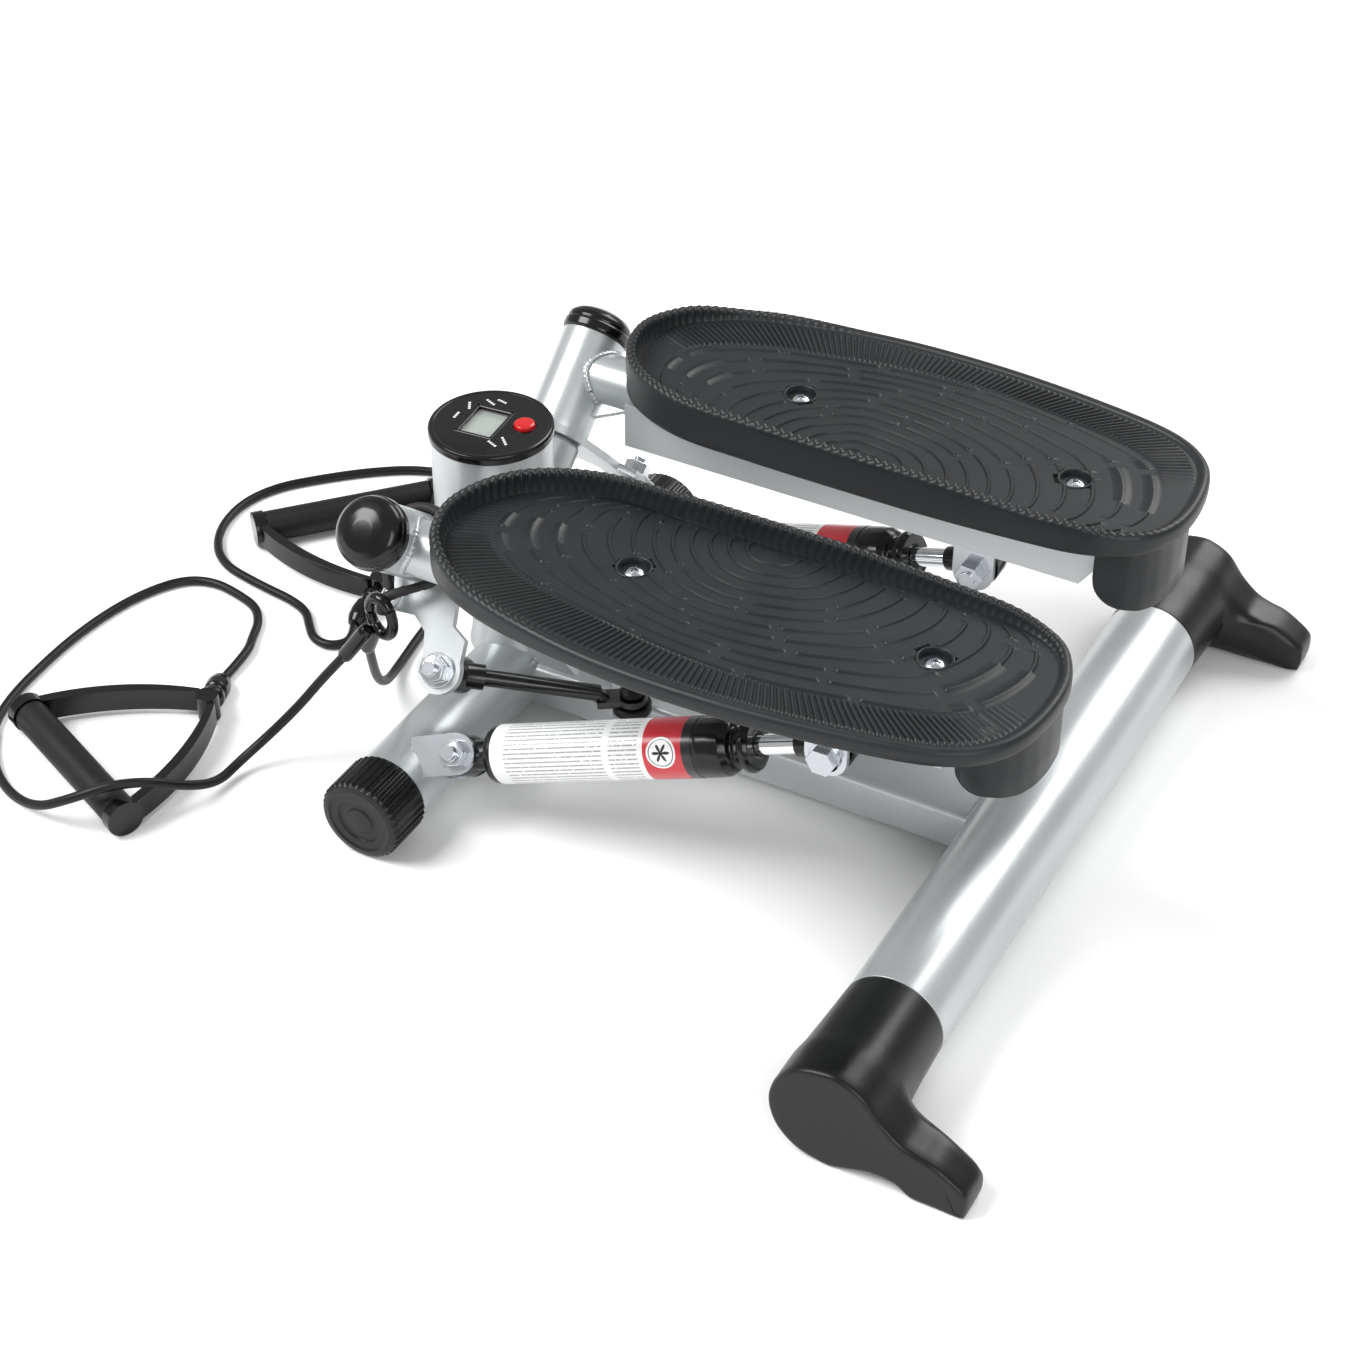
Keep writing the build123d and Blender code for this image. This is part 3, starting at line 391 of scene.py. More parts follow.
# %% Bands
BAND_D = 5.0
FLOOR_Z = BAND_D / 2 + 0.2
PLUG_LEN = 25.0
KNUCKLE_R = 6.0
GRIP_END_R = 10.0
BOW_REACH = 78.0
HANDLES = {"left": ((-177.0, 309.0), -24.0), "right": ((79.0, 314.5), -132.0)}
PLUG_HEADING = {"left": 24.0, "right": 183.0}
PLUG_DIP = 0.22
BAND_LEFT = [(-53, 291, 4.2), (-39, 298, FLOOR_Z), (-26, 303, FLOOR_Z), (-15, 313, FLOOR_Z),
             (-10, 329, FLOOR_Z), (-7, 347, FLOOR_Z), (-13, 363, FLOOR_Z), (-31, 374, FLOOR_Z),
             (-55, 381, FLOOR_Z), (-85, 384, FLOOR_Z), (-115, 383, FLOOR_Z), (-143, 380, FLOOR_Z),
             (-168, 372, FLOOR_Z), (-189, 355, FLOOR_Z), (-205, 332, FLOOR_Z), (-213, 306, 7.7),
             (-209, 284, 20), (-198, 268, 27), (-184, 254, 25), (-168, 244, 14), (-150, 239, 5),
             (-132, 238, 6.7), (-118, 229, 17), (-108, 215, 35), (-102, 201, 56), (-99, 188, 73)]
BAND_RIGHT = [(-15, 248, FLOOR_Z), (-25, 256, FLOOR_Z), (-24, 268, FLOOR_Z), (-15, 277, FLOOR_Z),
              (-5, 286, FLOOR_Z), (0, 300, FLOOR_Z), (2, 316, FLOOR_Z), (5, 334, FLOOR_Z),
              (9, 351, FLOOR_Z), (20, 366, FLOOR_Z), (40, 377, FLOOR_Z), (65, 380, FLOOR_Z),
              (88, 372, FLOOR_Z), (108, 354, FLOOR_Z), (127, 334, FLOOR_Z), (143, 311, FLOOR_Z),
              (150, 285, FLOOR_Z), (143, 260, FLOOR_Z), (124, 241, FLOOR_Z), (98, 231, FLOOR_Z),
              (68, 226, FLOOR_Z), (38, 222, FLOOR_Z), (8, 219, FLOOR_Z), (-20, 214, FLOOR_Z),
              (-44, 206, 10), (-62, 198, 27), (-76, 190, 50), (-86, 184, 71)]


def knuckle_point(side, distance):
    """Point ahead of the knuckle, towards the band, that many mm away."""
    (x, y), heading = HANDLES[side]
    a = math.radians(heading)
    b = math.radians(PLUG_HEADING[side])
    ahead = np.array([math.cos(b), math.sin(b), -PLUG_DIP])
    hub = np.array([x + BOW_REACH * math.cos(a), y + BOW_REACH * math.sin(a), GRIP_END_R])
    return at(*(hub + ahead / np.linalg.norm(ahead) * distance)), ahead / np.linalg.norm(ahead)


def band(side, route):
    start, _ = knuckle_point(side, KNUCKLE_R + PLUG_LEN)
    points = np.array([start] + [at(*p) for p in route])
    curve = bpy.data.curves.new("band_" + side, "CURVE")
    curve.dimensions = "3D"
    curve.bevel_depth = BAND_D / 2 * MM
    curve.bevel_resolution = 5
    curve.resolution_u = 12
    spline = curve.splines.new("NURBS")
    spline.points.add(len(points) - 1)
    spline.points.foreach_set("co", np.column_stack([points, np.ones(len(points))]).ravel())
    spline.order_u = 3
    spline.use_endpoint_u = True
    curve.materials.append(latex)
    piece = bpy.data.objects.new("band_tube_" + side, curve)
    bpy.context.scene.collection.objects.link(piece)
    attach(piece, "frame")
    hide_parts("band_" + side)
    return piece, points


tubes = {}
for side, route in (("left", BAND_LEFT), ("right", BAND_RIGHT)):
    tubes[side], route_points = band(side, route)
    print("band", side, "points", len(route_points))

# %% [markdown]
# ## Plugs
# Each band ends in a moulded barrel with a waist, which seats against the knuckle of the grip.

# %% Plugs
PLUG_R = 6.5
PLUG_PROFILE = [(0, -2), (4.5, -2), (4.5, 0), (PLUG_R, 2.0), (PLUG_R, 5.5), (PLUG_R - 1.4, 6.5),
                (PLUG_R - 1.4, 8.5), (PLUG_R, 10), (PLUG_R + 0.3, 16), (PLUG_R - 0.4, PLUG_LEN - 4),
                (4.0, PLUG_LEN), (0, PLUG_LEN)]
plug_grids = []
for side, _ in SIDES:
    foot, ahead = knuckle_point(side, KNUCKLE_R)
    plug_grids.append(lathe(PLUG_PROFILE, foot, ahead, 48, 0.7))
make_piece("plugs", plug_grids, "frame", gloss_black, "black_plastic", ("band_plugs",))
for side, _ in SIDES:
    start, _ = knuckle_point(side, KNUCKLE_R + PLUG_LEN)

# %% [markdown]
# ## Tubes of the frame
# The two cross tubes are plain round tube with their ends inside the caps. The beam between them
# is rectangular tube with the rounded corners that rolling gives it.

# %% Frame tubes
REAR_R = (rear_high.z - rear_low.z) / 2 / MM
FRONT_R = (front_high.z - front_low.z) / 2 / MM
REAR_Z = (rear_high.z + rear_low.z) / 2 / MM
FRONT_Z = (front_high.z + front_low.z) / 2 / MM
HALF_GAP = (front_low.y + front_high.y - rear_low.y - rear_high.y) / 4 / MM


def round_tube(low, high, radius, name, node):
    length = (high.x - low.x) / MM
    start = [low.x, (low.y + high.y) / 2, (low.z + high.z) / 2]
    profile = [(0, 0), (radius, 0), (radius, length * 0.25), (radius, length * 0.75), (radius, length),
               (0, length)]
    tube = lathe(profile, start, (1, 0, 0), 96, 0.4)
    return make_piece(name, [tube], "frame", silver, "silver_paint", (node,))


def rectangular(width, height, corner, steps=6):
    """Outline of a rolled rectangle: each corner is a quarter circle."""
    a = np.linspace(0, math.pi / 2, steps)
    quarters = []
    for q, (sx, sy) in enumerate(((1, 1), (-1, 1), (-1, -1), (1, -1))):
        cx = sx * (width / 2 - corner)
        cy = sy * (height / 2 - corner)
        quarters.append(np.column_stack([cx + corner * np.cos(a + q * math.pi / 2),
                                         cy + corner * np.sin(a + q * math.pi / 2)]))
    return np.concatenate(quarters)


def extruded(outline, start, end, side, up):
    """An outline in mm carried from start to end, across the vectors side and up."""
    ring = (outline[:, 0:1] * side + outline[:, 1:2] * up) * MM
    stations = np.array([start, start + (end - start) * 0.02, end + (start - end) * 0.02, end])
    return stations[:, None, :] + ring[None]


round_tube(rear_low, rear_high, REAR_R, "rear_cross_tube", "rear_tube")
round_tube(front_low, front_high, FRONT_R, "front_cross_tube", "front_tube")
beam_low, beam_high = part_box("main_beam")
BEAM_W = (beam_high.x - beam_low.x) / MM
BEAM_H = (beam_high.z - beam_low.z) / MM
BEAM_Z = (beam_high.z + beam_low.z) / 2 / MM
beam = extruded(rectangular(BEAM_W, BEAM_H, 3.5), at(0, -HALF_GAP + 8, BEAM_Z), at(0, HALF_GAP - 8, BEAM_Z),
                np.array([1.0, 0, 0]), UP)
make_piece("centre_beam", [beam], "frame", silver, "silver_paint", ("main_beam",))

# %% Post and column
post_low, post_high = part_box("centre_post")
POST_R = (post_high.x - post_low.x) / 2 / MM
POST_H = (post_high.z - post_low.z) / MM
post_foot = [0.0, (post_low.y + post_high.y) / 2, post_low.z]
post = lathe([(0, 0), (POST_R, 0), (POST_R, 2), (POST_R, POST_H), (0, POST_H)], post_foot, UP, 96, 0.8)
make_piece("post", [post], "frame", silver, "silver_paint", ("centre_post",))
COLUMN_Y = 150.0
column_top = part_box("support_column")[1].z / MM
column = lathe([(0, FRONT_Z + 10), (25.5, FRONT_Z + 10), (24.2, 38), (22.0, 56), (21.0, column_top),
                (0, column_top)], at(0, COLUMN_Y, 0), UP, 96, 1.0)
make_piece("column", [column], "frame", silver, "silver_paint", ("support_column",))
softened("post_gussets", silver, 0.6)


# %% [markdown]
# ## Weld beads
# Each joint of the frame is a hand-run weld under the paint: a low ridge with the ripples of the
# moving arc. A bead is a thin ring carried along the joint, its radius rippled with the distance.

# %% Weld beads
def weld(path, radius=1.9, ripple=0.28, pitch=2.4, closed=True):
    """A ring of the given radius carried along the path; the ripple adds a sine of the distance."""
    p = np.asarray(path)
    ahead = np.roll(p, -1, 0) - np.roll(p, 1, 0) if closed else np.gradient(p, axis=0)
    ahead /= np.linalg.norm(ahead, axis=1, keepdims=True)
    helper = np.where(np.abs(ahead @ UP)[:, None] < 0.9, UP, FORWARD)
    u = np.cross(helper, ahead)
    u /= np.linalg.norm(u, axis=1, keepdims=True)
    v = np.cross(ahead, u)
    steps = np.linalg.norm(np.diff(p, axis=0), axis=1)
    distance = np.concatenate([[0], np.cumsum(steps)]) / MM
    r = radius + ripple * np.sin(2 * math.pi * distance / pitch) + 0.2 * np.sin(distance / 5.3)
    a = np.linspace(0, 2 * math.pi, 10, endpoint=False)
    ring = np.cos(a)[None, :, None] * u[:, None] + np.sin(a)[None, :, None] * v[:, None]
    grid = p[:, None] + r[:, None, None] * ring * MM
    return np.concatenate([grid, grid[:1]]) if closed else grid


def where_tubes_meet(centre, direction, radius, axis_point, axis_direction, tube_radius, count=120):
    """Points where a tube along direction runs into a round tube: each line of the first tube is
    followed until its distance from the second axis equals the second radius."""
    u, v, w = frame_of(direction)
    a = np.linspace(0, 2 * math.pi, count, endpoint=False)
    start = centre + (np.cos(a)[:, None] * u + np.sin(a)[:, None] * v) * radius * MM
    n = np.asarray(axis_direction, float) / np.linalg.norm(axis_direction)
    d = start - axis_point
    d = d - (d @ n)[:, None] * n
    e = w - (w @ n) * n
    qa = e @ e
    qb = d @ e
    qc = np.sum(d * d, 1) - (tube_radius * MM) ** 2
    t = (-qb - np.sqrt(np.maximum(qb * qb - qa * qc, 0))) / qa
    return start + t[:, None] * w


post_axis = at(0, 160, 0)
shaft_weld = where_tubes_meet(on_pivot(80), -AXIS, 15.0, post_axis, UP, POST_R)
stub_weld = where_tubes_meet(on_pivot(115) - FORWARD * 0.05, FORWARD, 14.0, APEX, AXIS, 17.0)
turn = np.linspace(0, 2 * math.pi, 160, endpoint=False)
circle = np.column_stack([np.cos(turn), np.sin(turn), 0 * turn])
column_weld = at(0, COLUMN_Y, column_top - 0.5) + 21.3 * MM * circle
across = np.linspace(-1, 1, 60)
beam_welds = []
for y, r, z in ((-HALF_GAP, REAR_R, REAR_Z), (HALF_GAP, FRONT_R, FRONT_Z)):
    top = beam_high.z / MM
    side = -np.sign(y)
    reach = math.sqrt(max(r * r - (top - z) ** 2, 0))
    beam_welds.append(np.array([at(x * BEAM_W / 2, y + side * reach, top) for x in across]))
frame_welds = [weld(shaft_weld), weld(shaft_weld * np.array([-1, 1, 1])), weld(column_weld, 1.7)]
frame_welds += [weld(path, 1.6, closed=False) for path in beam_welds]
make_piece("frame_welds", frame_welds, "frame", silver, "silver_paint", sharp=60)
both("stub_weld", [weld(stub_weld, 1.7)], "*_arm", silver, "silver_paint", sharp=60)

# %% [markdown]
# ## End caps
# The rear caps are one moulding each: a barrel that flares from the tube to its flat outer face,
# and a toe that runs back along the floor and keeps the machine from rocking. The surface goes
# from a circle to the outline of the outer face, and the toe grows out over a short blend.

# %% Rear caps
CAP_LEN = 70.0
TOE_W = 21.0
HALF_WIDTH = cad_box[1].x / MM
FACE_OUTLINE = [(90, 0, 28), (60, 14, 24.2), (30, 24.2, 14), (0, 28, 0), (-30, 24.2, -14), (-60, 14, -24.2),
                (-90, 0, -28), (-97, -6, -27.4), (-105, -14, -24.8), (-113, -24, -22.2), (-121, -34, -22.8),
                (-128, -40, -26.6), (-132, -44, -28), (-140, -54, -28), (-148, -66, -28), (-153, -68.4, -25),
                (-158, -68.9, -17), (-162, -67, -12.2), (-168, -60, -7), (-174, -52, -2.6), (-180, -44, -0.6),
                (-188, -37, 2), (-198, -31, 6.5), (-210, -25.5, 12), (-226, -18, 21.4), (-248, -9, 26.6)]


def between_points(a, b, c, d, f):
    """Catmull-Rom curve: the cubic from b at f = 0 to c at f = 1, with slopes (c - a) / 2 and (d - b) / 2."""
    curved = (2 * a - 5 * b + 4 * c - d) * f ** 2
    return 0.5 * (2 * b + (c - a) * f + curved + (3 * b - a - 3 * c + d) * f ** 3)


def smooth_loop(points, count):
    """Closed Catmull-Rom curve through the points, sampled evenly by parameter."""
    p = np.asarray(points, float)
    n = len(p)
    t = np.arange(count) * n / count
    i = t.astype(int)
    return between_points(*(p[(i + k) % n] for k in (-1, 0, 1, 2)), (t - i)[:, None])


def rear_cap():
    outline = np.array(FACE_OUTLINE, float)
    face = smooth_loop(outline[:, 1:], 240)
    bearing = np.radians(outline[:, 0])
    angles = smooth_loop(np.column_stack([np.cos(bearing), np.sin(bearing)]), 240)
    angles /= np.linalg.norm(angles, axis=1, keepdims=True)
    toe_start = CAP_LEN - TOE_W
    s = np.array([0, 0, 0.8, 1.6, 12, 26, toe_start - 9, toe_start - 6, toe_start - 3.5, toe_start - 1.5,
                  toe_start, toe_start + 1.5, toe_start + 3.5, toe_start + 7, CAP_LEN - 6, CAP_LEN - 2.5,
                  CAP_LEN - 1.2, CAP_LEN - 0.5, CAP_LEN - 0.1, CAP_LEN, CAP_LEN])
    grow = np.clip((s - (toe_start - 10)) / 13.5, 0, 1)
    grow = (grow ** 2 * (3 - 2 * grow))[:, None, None]
    radius = (REAR_R + (28 - REAR_R) * s / CAP_LEN)
    radius[0] = REAR_R - 4
    radius[1] = REAR_R - 0.2
    edge = np.interp(s, [CAP_LEN - 2.5, CAP_LEN - 1.2, CAP_LEN - 0.5, CAP_LEN - 0.1, CAP_LEN],
                     [0, 0.25, 0.7, 1.4, 2.2])
    barrel = radius[:, None, None] * angles[None]
    shape = barrel * (1 - grow) + face[None] * grow
    centre = shape.mean(1, keepdims=True)
    inward = np.roll(shape, -1, 1) - np.roll(shape, 1, 1)
    inward = np.stack([inward[..., 1], -inward[..., 0]], -1)
    inward /= np.linalg.norm(inward, axis=2, keepdims=True)
    inward *= np.sign(np.sum(inward * (centre - shape), 2, keepdims=True).mean(1, keepdims=True))
    shape = shape + inward * edge[:, None, None]
    shape[-1] = shape[-1].mean(0) + (shape[-2] - shape[-1].mean(0)) * 0.93
    x = np.broadcast_to((HALF_WIDTH - CAP_LEN + s)[:, None], shape.shape[:2])
    grid = np.stack([x, shape[..., 0] - HALF_GAP, shape[..., 1] + REAR_Z], -1)
    grid[..., 2] = np.maximum(grid[..., 2], 0.0)
    return grid * MM + np.array([0, SHIFT_Y, 0])


rear_grid = rear_cap()
make_piece("rear_end_caps", mirrored([rear_grid], 1) + mirrored([rear_grid], -1), "frame", cap_black,
           "cap_plastic", ("rear_caps",), sharp=50)


# %% Front caps
FRONT_CAP_LEN = 27.0
FRONT_CAP_R = 22.4
RIBS = 36


def ribbed(radius, angle, height):
    """Square-shouldered ribs: a steep wave of the angle lowers the radius between them."""
    wave = np.clip(1.6 * np.cos(RIBS * angle), -1, 1)
    inside = (radius > FRONT_CAP_R - 0.6) * 1.0
    return radius - inside * 0.6 * (1 - wave)


cap_profile = [(0, 0), (FRONT_R - 1, 0), (FRONT_CAP_R - 1.4, 0), (FRONT_CAP_R, 1.2), (FRONT_CAP_R, 8),
               (FRONT_CAP_R, 18), (FRONT_CAP_R, 24.5), (FRONT_CAP_R - 1.6, 26.4), (17.5, 27), (16.6, 26.2),
               (12.5, 26.2), (11.6, 25.2), (7.6, 25.2), (6.8, 26), (0, 26)]
FRONT_WIDTH = 315.0
cap_foot = at(FRONT_WIDTH / 2 - FRONT_CAP_LEN, HALF_GAP, FRONT_Z)
front_grid = lathe(cap_profile, cap_foot, (1, 0, 0), RIBS * 8, 0.4, ribbed)
make_piece("front_end_caps", mirrored([front_grid], 1) + mirrored([front_grid], -1), "frame", cap_black,
           "cap_plastic", ("front_caps",), sharp=50)

# %% [markdown]
# ## Pivots
# Each arm hangs on a shaft that leans outwards from the post: a shoulder collar, then the
# sleeve of the arm, closed by a glossy dome cap.

# %% Pivots
collar = lathe([(0, 30), (15, 30), (15, 74.5), (13.8, 76.4), (10.0, 76.5), (10.0, 126.5), (0, 126.8)],
               APEX, AXIS, 72, 0.5)
both("leaning_shaft", [collar], "frame", silver, "silver_paint", "pivot_shaft")
sleeve = lathe([(14.6, 81), (17.0, 81.2), (17.0, 86), (17.0, 134.6), (16.4, 135), (14.6, 135), (14.5, 134),
                (14.5, 82), (14.6, 81)], APEX, AXIS, 72, 0.4)
both("arm_sleeve", [sleeve], "*_arm", silver, "silver_paint", "pivot_sleeve")
dome = lathe([(0, 128), (14, 128), (14, 134.8), (18.0, 135.0), (18.4, 136), (18.4, 139.6), (17.6, 140.6),
              (17.9, 141.6), (17.3, 144), (14.8, 146.6), (10.5, 148.6), (5.5, 149.7), (0, 150)],
             APEX, AXIS, 96, 0.9)
both("dome", [dome], "*_arm", gloss_black, "black_plastic", "dome_cap")
for side, _ in SIDES:
    softened("stub_tube_" + side, silver, 0.5)
    softened("lug_plate_" + side, silver, 0.7)
    softened("pedal_bar_" + side, silver, 1.6)
    softened("clevis_" + side, zinc, 0.5)
    softened("tie_rod_" + side, steel_black, 0.5)
softened("damper_brackets", zinc, 0.5)
softened("rocker_arm", silver, 0.6)
softened("display_cap", gloss_black, 0.7)

# %% [markdown]
# ## Footboards
# One moulding each. The grid follows the edge: its columns stand side by side along the outline,
# and its rows run from the underside round the rim and then inwards. So ribs that point inwards
# are a wave along the columns, and the oval lines of the tread are single rows lifted from the rest.

# %% Footboard surface
EDGE = [(33, 30), (37, 78), (56, 112), (89, 127), (121, 117), (145, 80), (157, 15), (158, -50), (151, -112),
        (141, -153), (123, -175), (95, -183), (64, -181), (42, -165), (33, -128), (32, -50)]
WALL_HEIGHT = [9, 9, 9, 8.6, 6.5, 2.2, 0, 0, 0, 0, 0, 0, 0.6, 2.2, 5.0, 8.4]
WALL_FOOT = [161, 161, 161, 161.5, 163, 165, 166, 166, 166, 166, 166, 166, 166, 165, 163, 161]
RIB_LENGTH = [6, 6, 9, 16, 30, 31, 22, 17, 20, 33, 24, 10, 6, 6, 6, 6]
RIB_WEIGHT = [0, 0, 0, 0.2, 1, 1, 1, 1, 1, 1, 0.6, 0, 0, 0, 0, 0]
LINE_WEIGHT = [0, 0.9, 1, 1, 1, 1, 1, 1, 1, 1, 1, 1, 1, 0.9, 0, 0]
TREAD_CENTRE = (43.0, -22.0)
OVAL = (95.0, 114.0, 136.0)
BOLTS = ((85.0, 28.5), (81.0, -122.5))
FLOOR = 172.8
TOP = 174.4
RIB_STEP = 3.5
LINES = 11


def along_edge(values, k):
    """Values given at the edge points, read between them at the place k with smooth steps."""
    v = np.asarray(values, float)
    i = np.floor(k).astype(int) % len(v)
    f = k - np.floor(k)
    f = f * f * (3 - 2 * f)
    return v[i] * (1 - f) + v[(i + 1) % len(v)] * f


def eased(values, width):
    """Closed row of values averaged over its neighbours three times."""
    for _ in range(3):
        padded = np.concatenate([values[-width:], values, values[:width]])
        total = np.concatenate([[0], np.cumsum(padded)])
        values = (total[2 * width + 1:] - total[:-2 * width - 1]) / (2 * width + 1)
    return values


def footboard():
    dense = smooth_loop(EDGE, 6400)
    steps = np.linalg.norm(np.roll(dense, -1, 0) - dense, axis=1)
    distance = np.concatenate([[0], np.cumsum(steps)])
    ribs = int(round(distance[-1] / RIB_STEP))
    columns = ribs * 6
    s = np.arange(columns) * distance[-1] / columns
    k = np.interp(s, distance, np.linspace(0, 16, len(distance)))
    edge = np.column_stack([np.interp(s, distance[:-1], dense[:, i]) for i in (0, 1)])
    ahead = np.roll(edge, -1, 0) - np.roll(edge, 1, 0)
    ahead /= np.linalg.norm(ahead, axis=1, keepdims=True)
    inward = np.column_stack([ahead[:, 1], -ahead[:, 0]])
    wall = along_edge(WALL_HEIGHT, k)
    foot = along_edge(WALL_FOOT, k)
    reach = eased(along_edge(RIB_LENGTH, k), columns // 24)
    rib_weight = along_edge(RIB_WEIGHT, k)
    line_weight = along_edge(LINE_WEIGHT, k)
    centre = np.array(TREAD_CENTRE)
    top = TOP + wall
    tooth = np.cos(2 * math.pi * np.arange(columns) / 8) * np.clip(wall / 4, 0, 1)
    rib = np.isin(np.arange(columns) % 6, (1, 2, 3)) * rib_weight
    inner = edge + inward * 6.6
    toward = centre - inner
    room = np.linalg.norm(toward, axis=1)
    toward /= room[:, None]
    reach = np.minimum(reach, 0.35 * room)
    border = inner + toward * reach[:, None]
    rows = []

    def row(xy, z):
        rows.append(np.column_stack([xy, np.broadcast_to(z, len(xy))]))

    row(np.broadcast_to(centre + (30, 0), edge.shape), 170.0)
    row(edge + inward * 8.0, 170.0)
    row(edge + inward * 5.6, 169.6)
    row(edge + inward * 5.0, foot)
    for inset, z in ((0.7, foot), (0.1, foot + 0.7), (0.0, foot + 3), (0.0, top - 3.4), (0.3, top - 1.7)):
        row(edge + inward * inset, z)
    for inset, lift, swell in ((1.2, -0.45, 0.25), (2.4, 0.0, 0.6), (3.8, 0.0, 0.8), (4.8, -0.6, 0.8)):
        row(edge + inward * inset, top + lift + swell * tooth)
    row(edge + inward * (5.2 + 0.45 * tooth)[:, None], top - 1.2 - 0.25 * wall + 0.3 * tooth)
    row(edge + inward * (5.7 + 0.25 * tooth)[:, None], FLOOR + 0.35 * wall + 0.3)
    row(inner, FLOOR)
    for f, lift in ((0.02, 0.0), (0.06, 0.8), (0.12, 1.0), (0.5, 1.0), (0.88, 1.0), (0.94, 0.8), (0.98, 0.0)):
        row(inner + (border - inner) * f, FLOOR + rib * lift)
    turn_of = np.linalg.norm(border - centre, axis=1)
    away = border - centre
    long_half = np.where(away[:, 1] > 0, OVAL[1], OVAL[2])
    phi = np.arctan2(away[:, 1] / long_half, away[:, 0] / OVAL[0])
    outer_side = away[:, 0] > 0
    ends = [away[outer_side & (sign * away[:, 1] > 0), 1][-1 if sign < 0 else 0] for sign in (1, -1)]
    squeeze = np.where(away[:, 1] > 0, OVAL[1] / ends[0], -OVAL[2] / ends[1])
    oval = np.where(outer_side[:, None], np.column_stack([OVAL[0] * np.cos(phi), long_half * np.sin(phi)]),
                    np.column_stack([away[:, 0], away[:, 1] * squeeze]))

    def ring_at(u):
        """Border at u = 0, drawn in towards the centre and rounded to a half oval as u grows."""
        u = np.asarray(u) * np.ones(columns)
        round_off = np.clip(u * 2.2, 0, 1)[:, None]
        return centre + (1 - u)[:, None] * ((1 - round_off) * away + round_off * oval)

    for line in range(LINES + 1):
        u0 = (line + 0.25) / (LINES + 1.6)
        ring = ring_at(u0)
        along = np.concatenate([[0], np.cumsum(np.linalg.norm(np.diff(ring, axis=0), axis=1))])
        dash = 26.0 + 2.0 * (LINES - line)
        phase = (along / (dash + 5.5) + 0.5 * line + 0.13 * math.sin(2.3 * line)) % 1.0
        gap = np.clip(np.minimum(phase, 1 - phase) * (dash + 5.5) - 2.2, 0, 1) if line < LINES - 3 else 1.0
        lift = 0.85 * gap * line_weight
        half = 0.75 / np.maximum(turn_of, 30.0)
        for side, height in ((-1.5, 0.0), (-0.7, 1.0), (0.7, 1.0), (1.5, 0.0)):
            row(ring_at(u0 + side * half), FLOOR + lift * height)
        if line < LINES:
            for between in (0.36, 0.64):
                row(ring_at(u0 + between / (LINES + 1.6)), FLOOR)
    row(ring_at(0.985), FLOOR)
    grid = np.array(rows)
    for x, y in BOLTS:
        away = np.hypot(grid[..., 0] - x, grid[..., 1] - y)
        grid[..., 2] = np.where((away < 8.3) & (grid[..., 2] > 170.5), 167.0, grid[..., 2])
    return grid


board_grid = footboard()
print("footboard grid", board_grid.shape)
GRAINED = ("17191B", "1D2022")
board_plastic = plastic("glass_filled_nylon", GRAINED, (0.38, 0.48), 0.55, 0.05, Specular_IOR_Level=0.35)


def in_frame(grid):
    """Drawing millimetres to frame metres, for a whole grid."""
    return grid * MM + np.array([0.0, SHIFT_Y, 0.0])


both("footboard", [in_frame(board_grid)], "*_arm", board_plastic, "pedal_plastic", "pedal", sharp=50)

# %% [markdown]
# The bolts sit in round pockets, which are cups let into the tread, and a skirt hangs from the rear
# of the board and hides the end of its bar.

# %% Bolt pockets and skirt
pockets = []
for x, y in BOLTS:
    cup = [(0, 160), (10.5, 160), (10.5, 171), (8.9, 171.5), (8.9, FLOOR + 0.25), (8.5, FLOOR + 0.55),
           (7.9, FLOOR + 0.5), (7.5, FLOOR + 0.1), (7.4, 167.4), (0, 167.4)]
    pockets.append(lathe(cup, at(x, y, 0), UP, 64, 0.15))
both("bolt_pockets", pockets, "*_arm", board_plastic, "pedal_plastic", sharp=50)
SKIRT = [(46, -148), (46.5, -156), (47.5, -165), (51, -172), (58, -176.5), (68, -179.3), (80, -180),
         (92, -178.8), (101, -175.5), (107, -170), (110.5, -162), (112.4, -155), (113, -148)]


def skirt():
    p = np.array(SKIRT, float)
    t = np.linspace(0, len(p) - 1, 120)
    path = np.column_stack([np.interp(t, np.arange(len(p)), p[:, i]) for i in (0, 1)])
    for _ in range(6):
        path[1:-1] = (path[:-2] + 2 * path[1:-1] + path[2:]) / 4
    ahead = np.gradient(path, axis=0)
    ahead /= np.linalg.norm(ahead, axis=1, keepdims=True)
    inward = np.column_stack([-ahead[:, 1], ahead[:, 0]])
    s = np.concatenate([[0], np.cumsum(np.linalg.norm(np.diff(path, axis=0), axis=1))])
    from_end = np.minimum(s, s[-1] - s)
    drop = np.sqrt(np.clip(1 - (1 - np.clip(from_end / 14.0, 0, 1)) ** 2, 0, 1))
    low = 144.0 - 14.0 * drop
    loop = []
    for across, up in ((0.4, 0.0), (0.0, 0.6), (0.0, 12.0), (0.0, None), (3.4, None), (3.4, 12.0), (3.4, 0.6),
                       (3.0, 0.0)):
        z = low + up if up is not None else np.full_like(low, 170.8)
        loop.append(np.column_stack([path + inward * across, z]))
    return np.array(loop).transpose(1, 0, 2)


both("skirt", [in_frame(skirt())], "*_arm", board_plastic, "pedal_plastic", sharp=45)


# %% [markdown]
# The bolt heads are zinc domes with a cross recess pressed into them: the height is the dome less
# a cross-shaped dip.

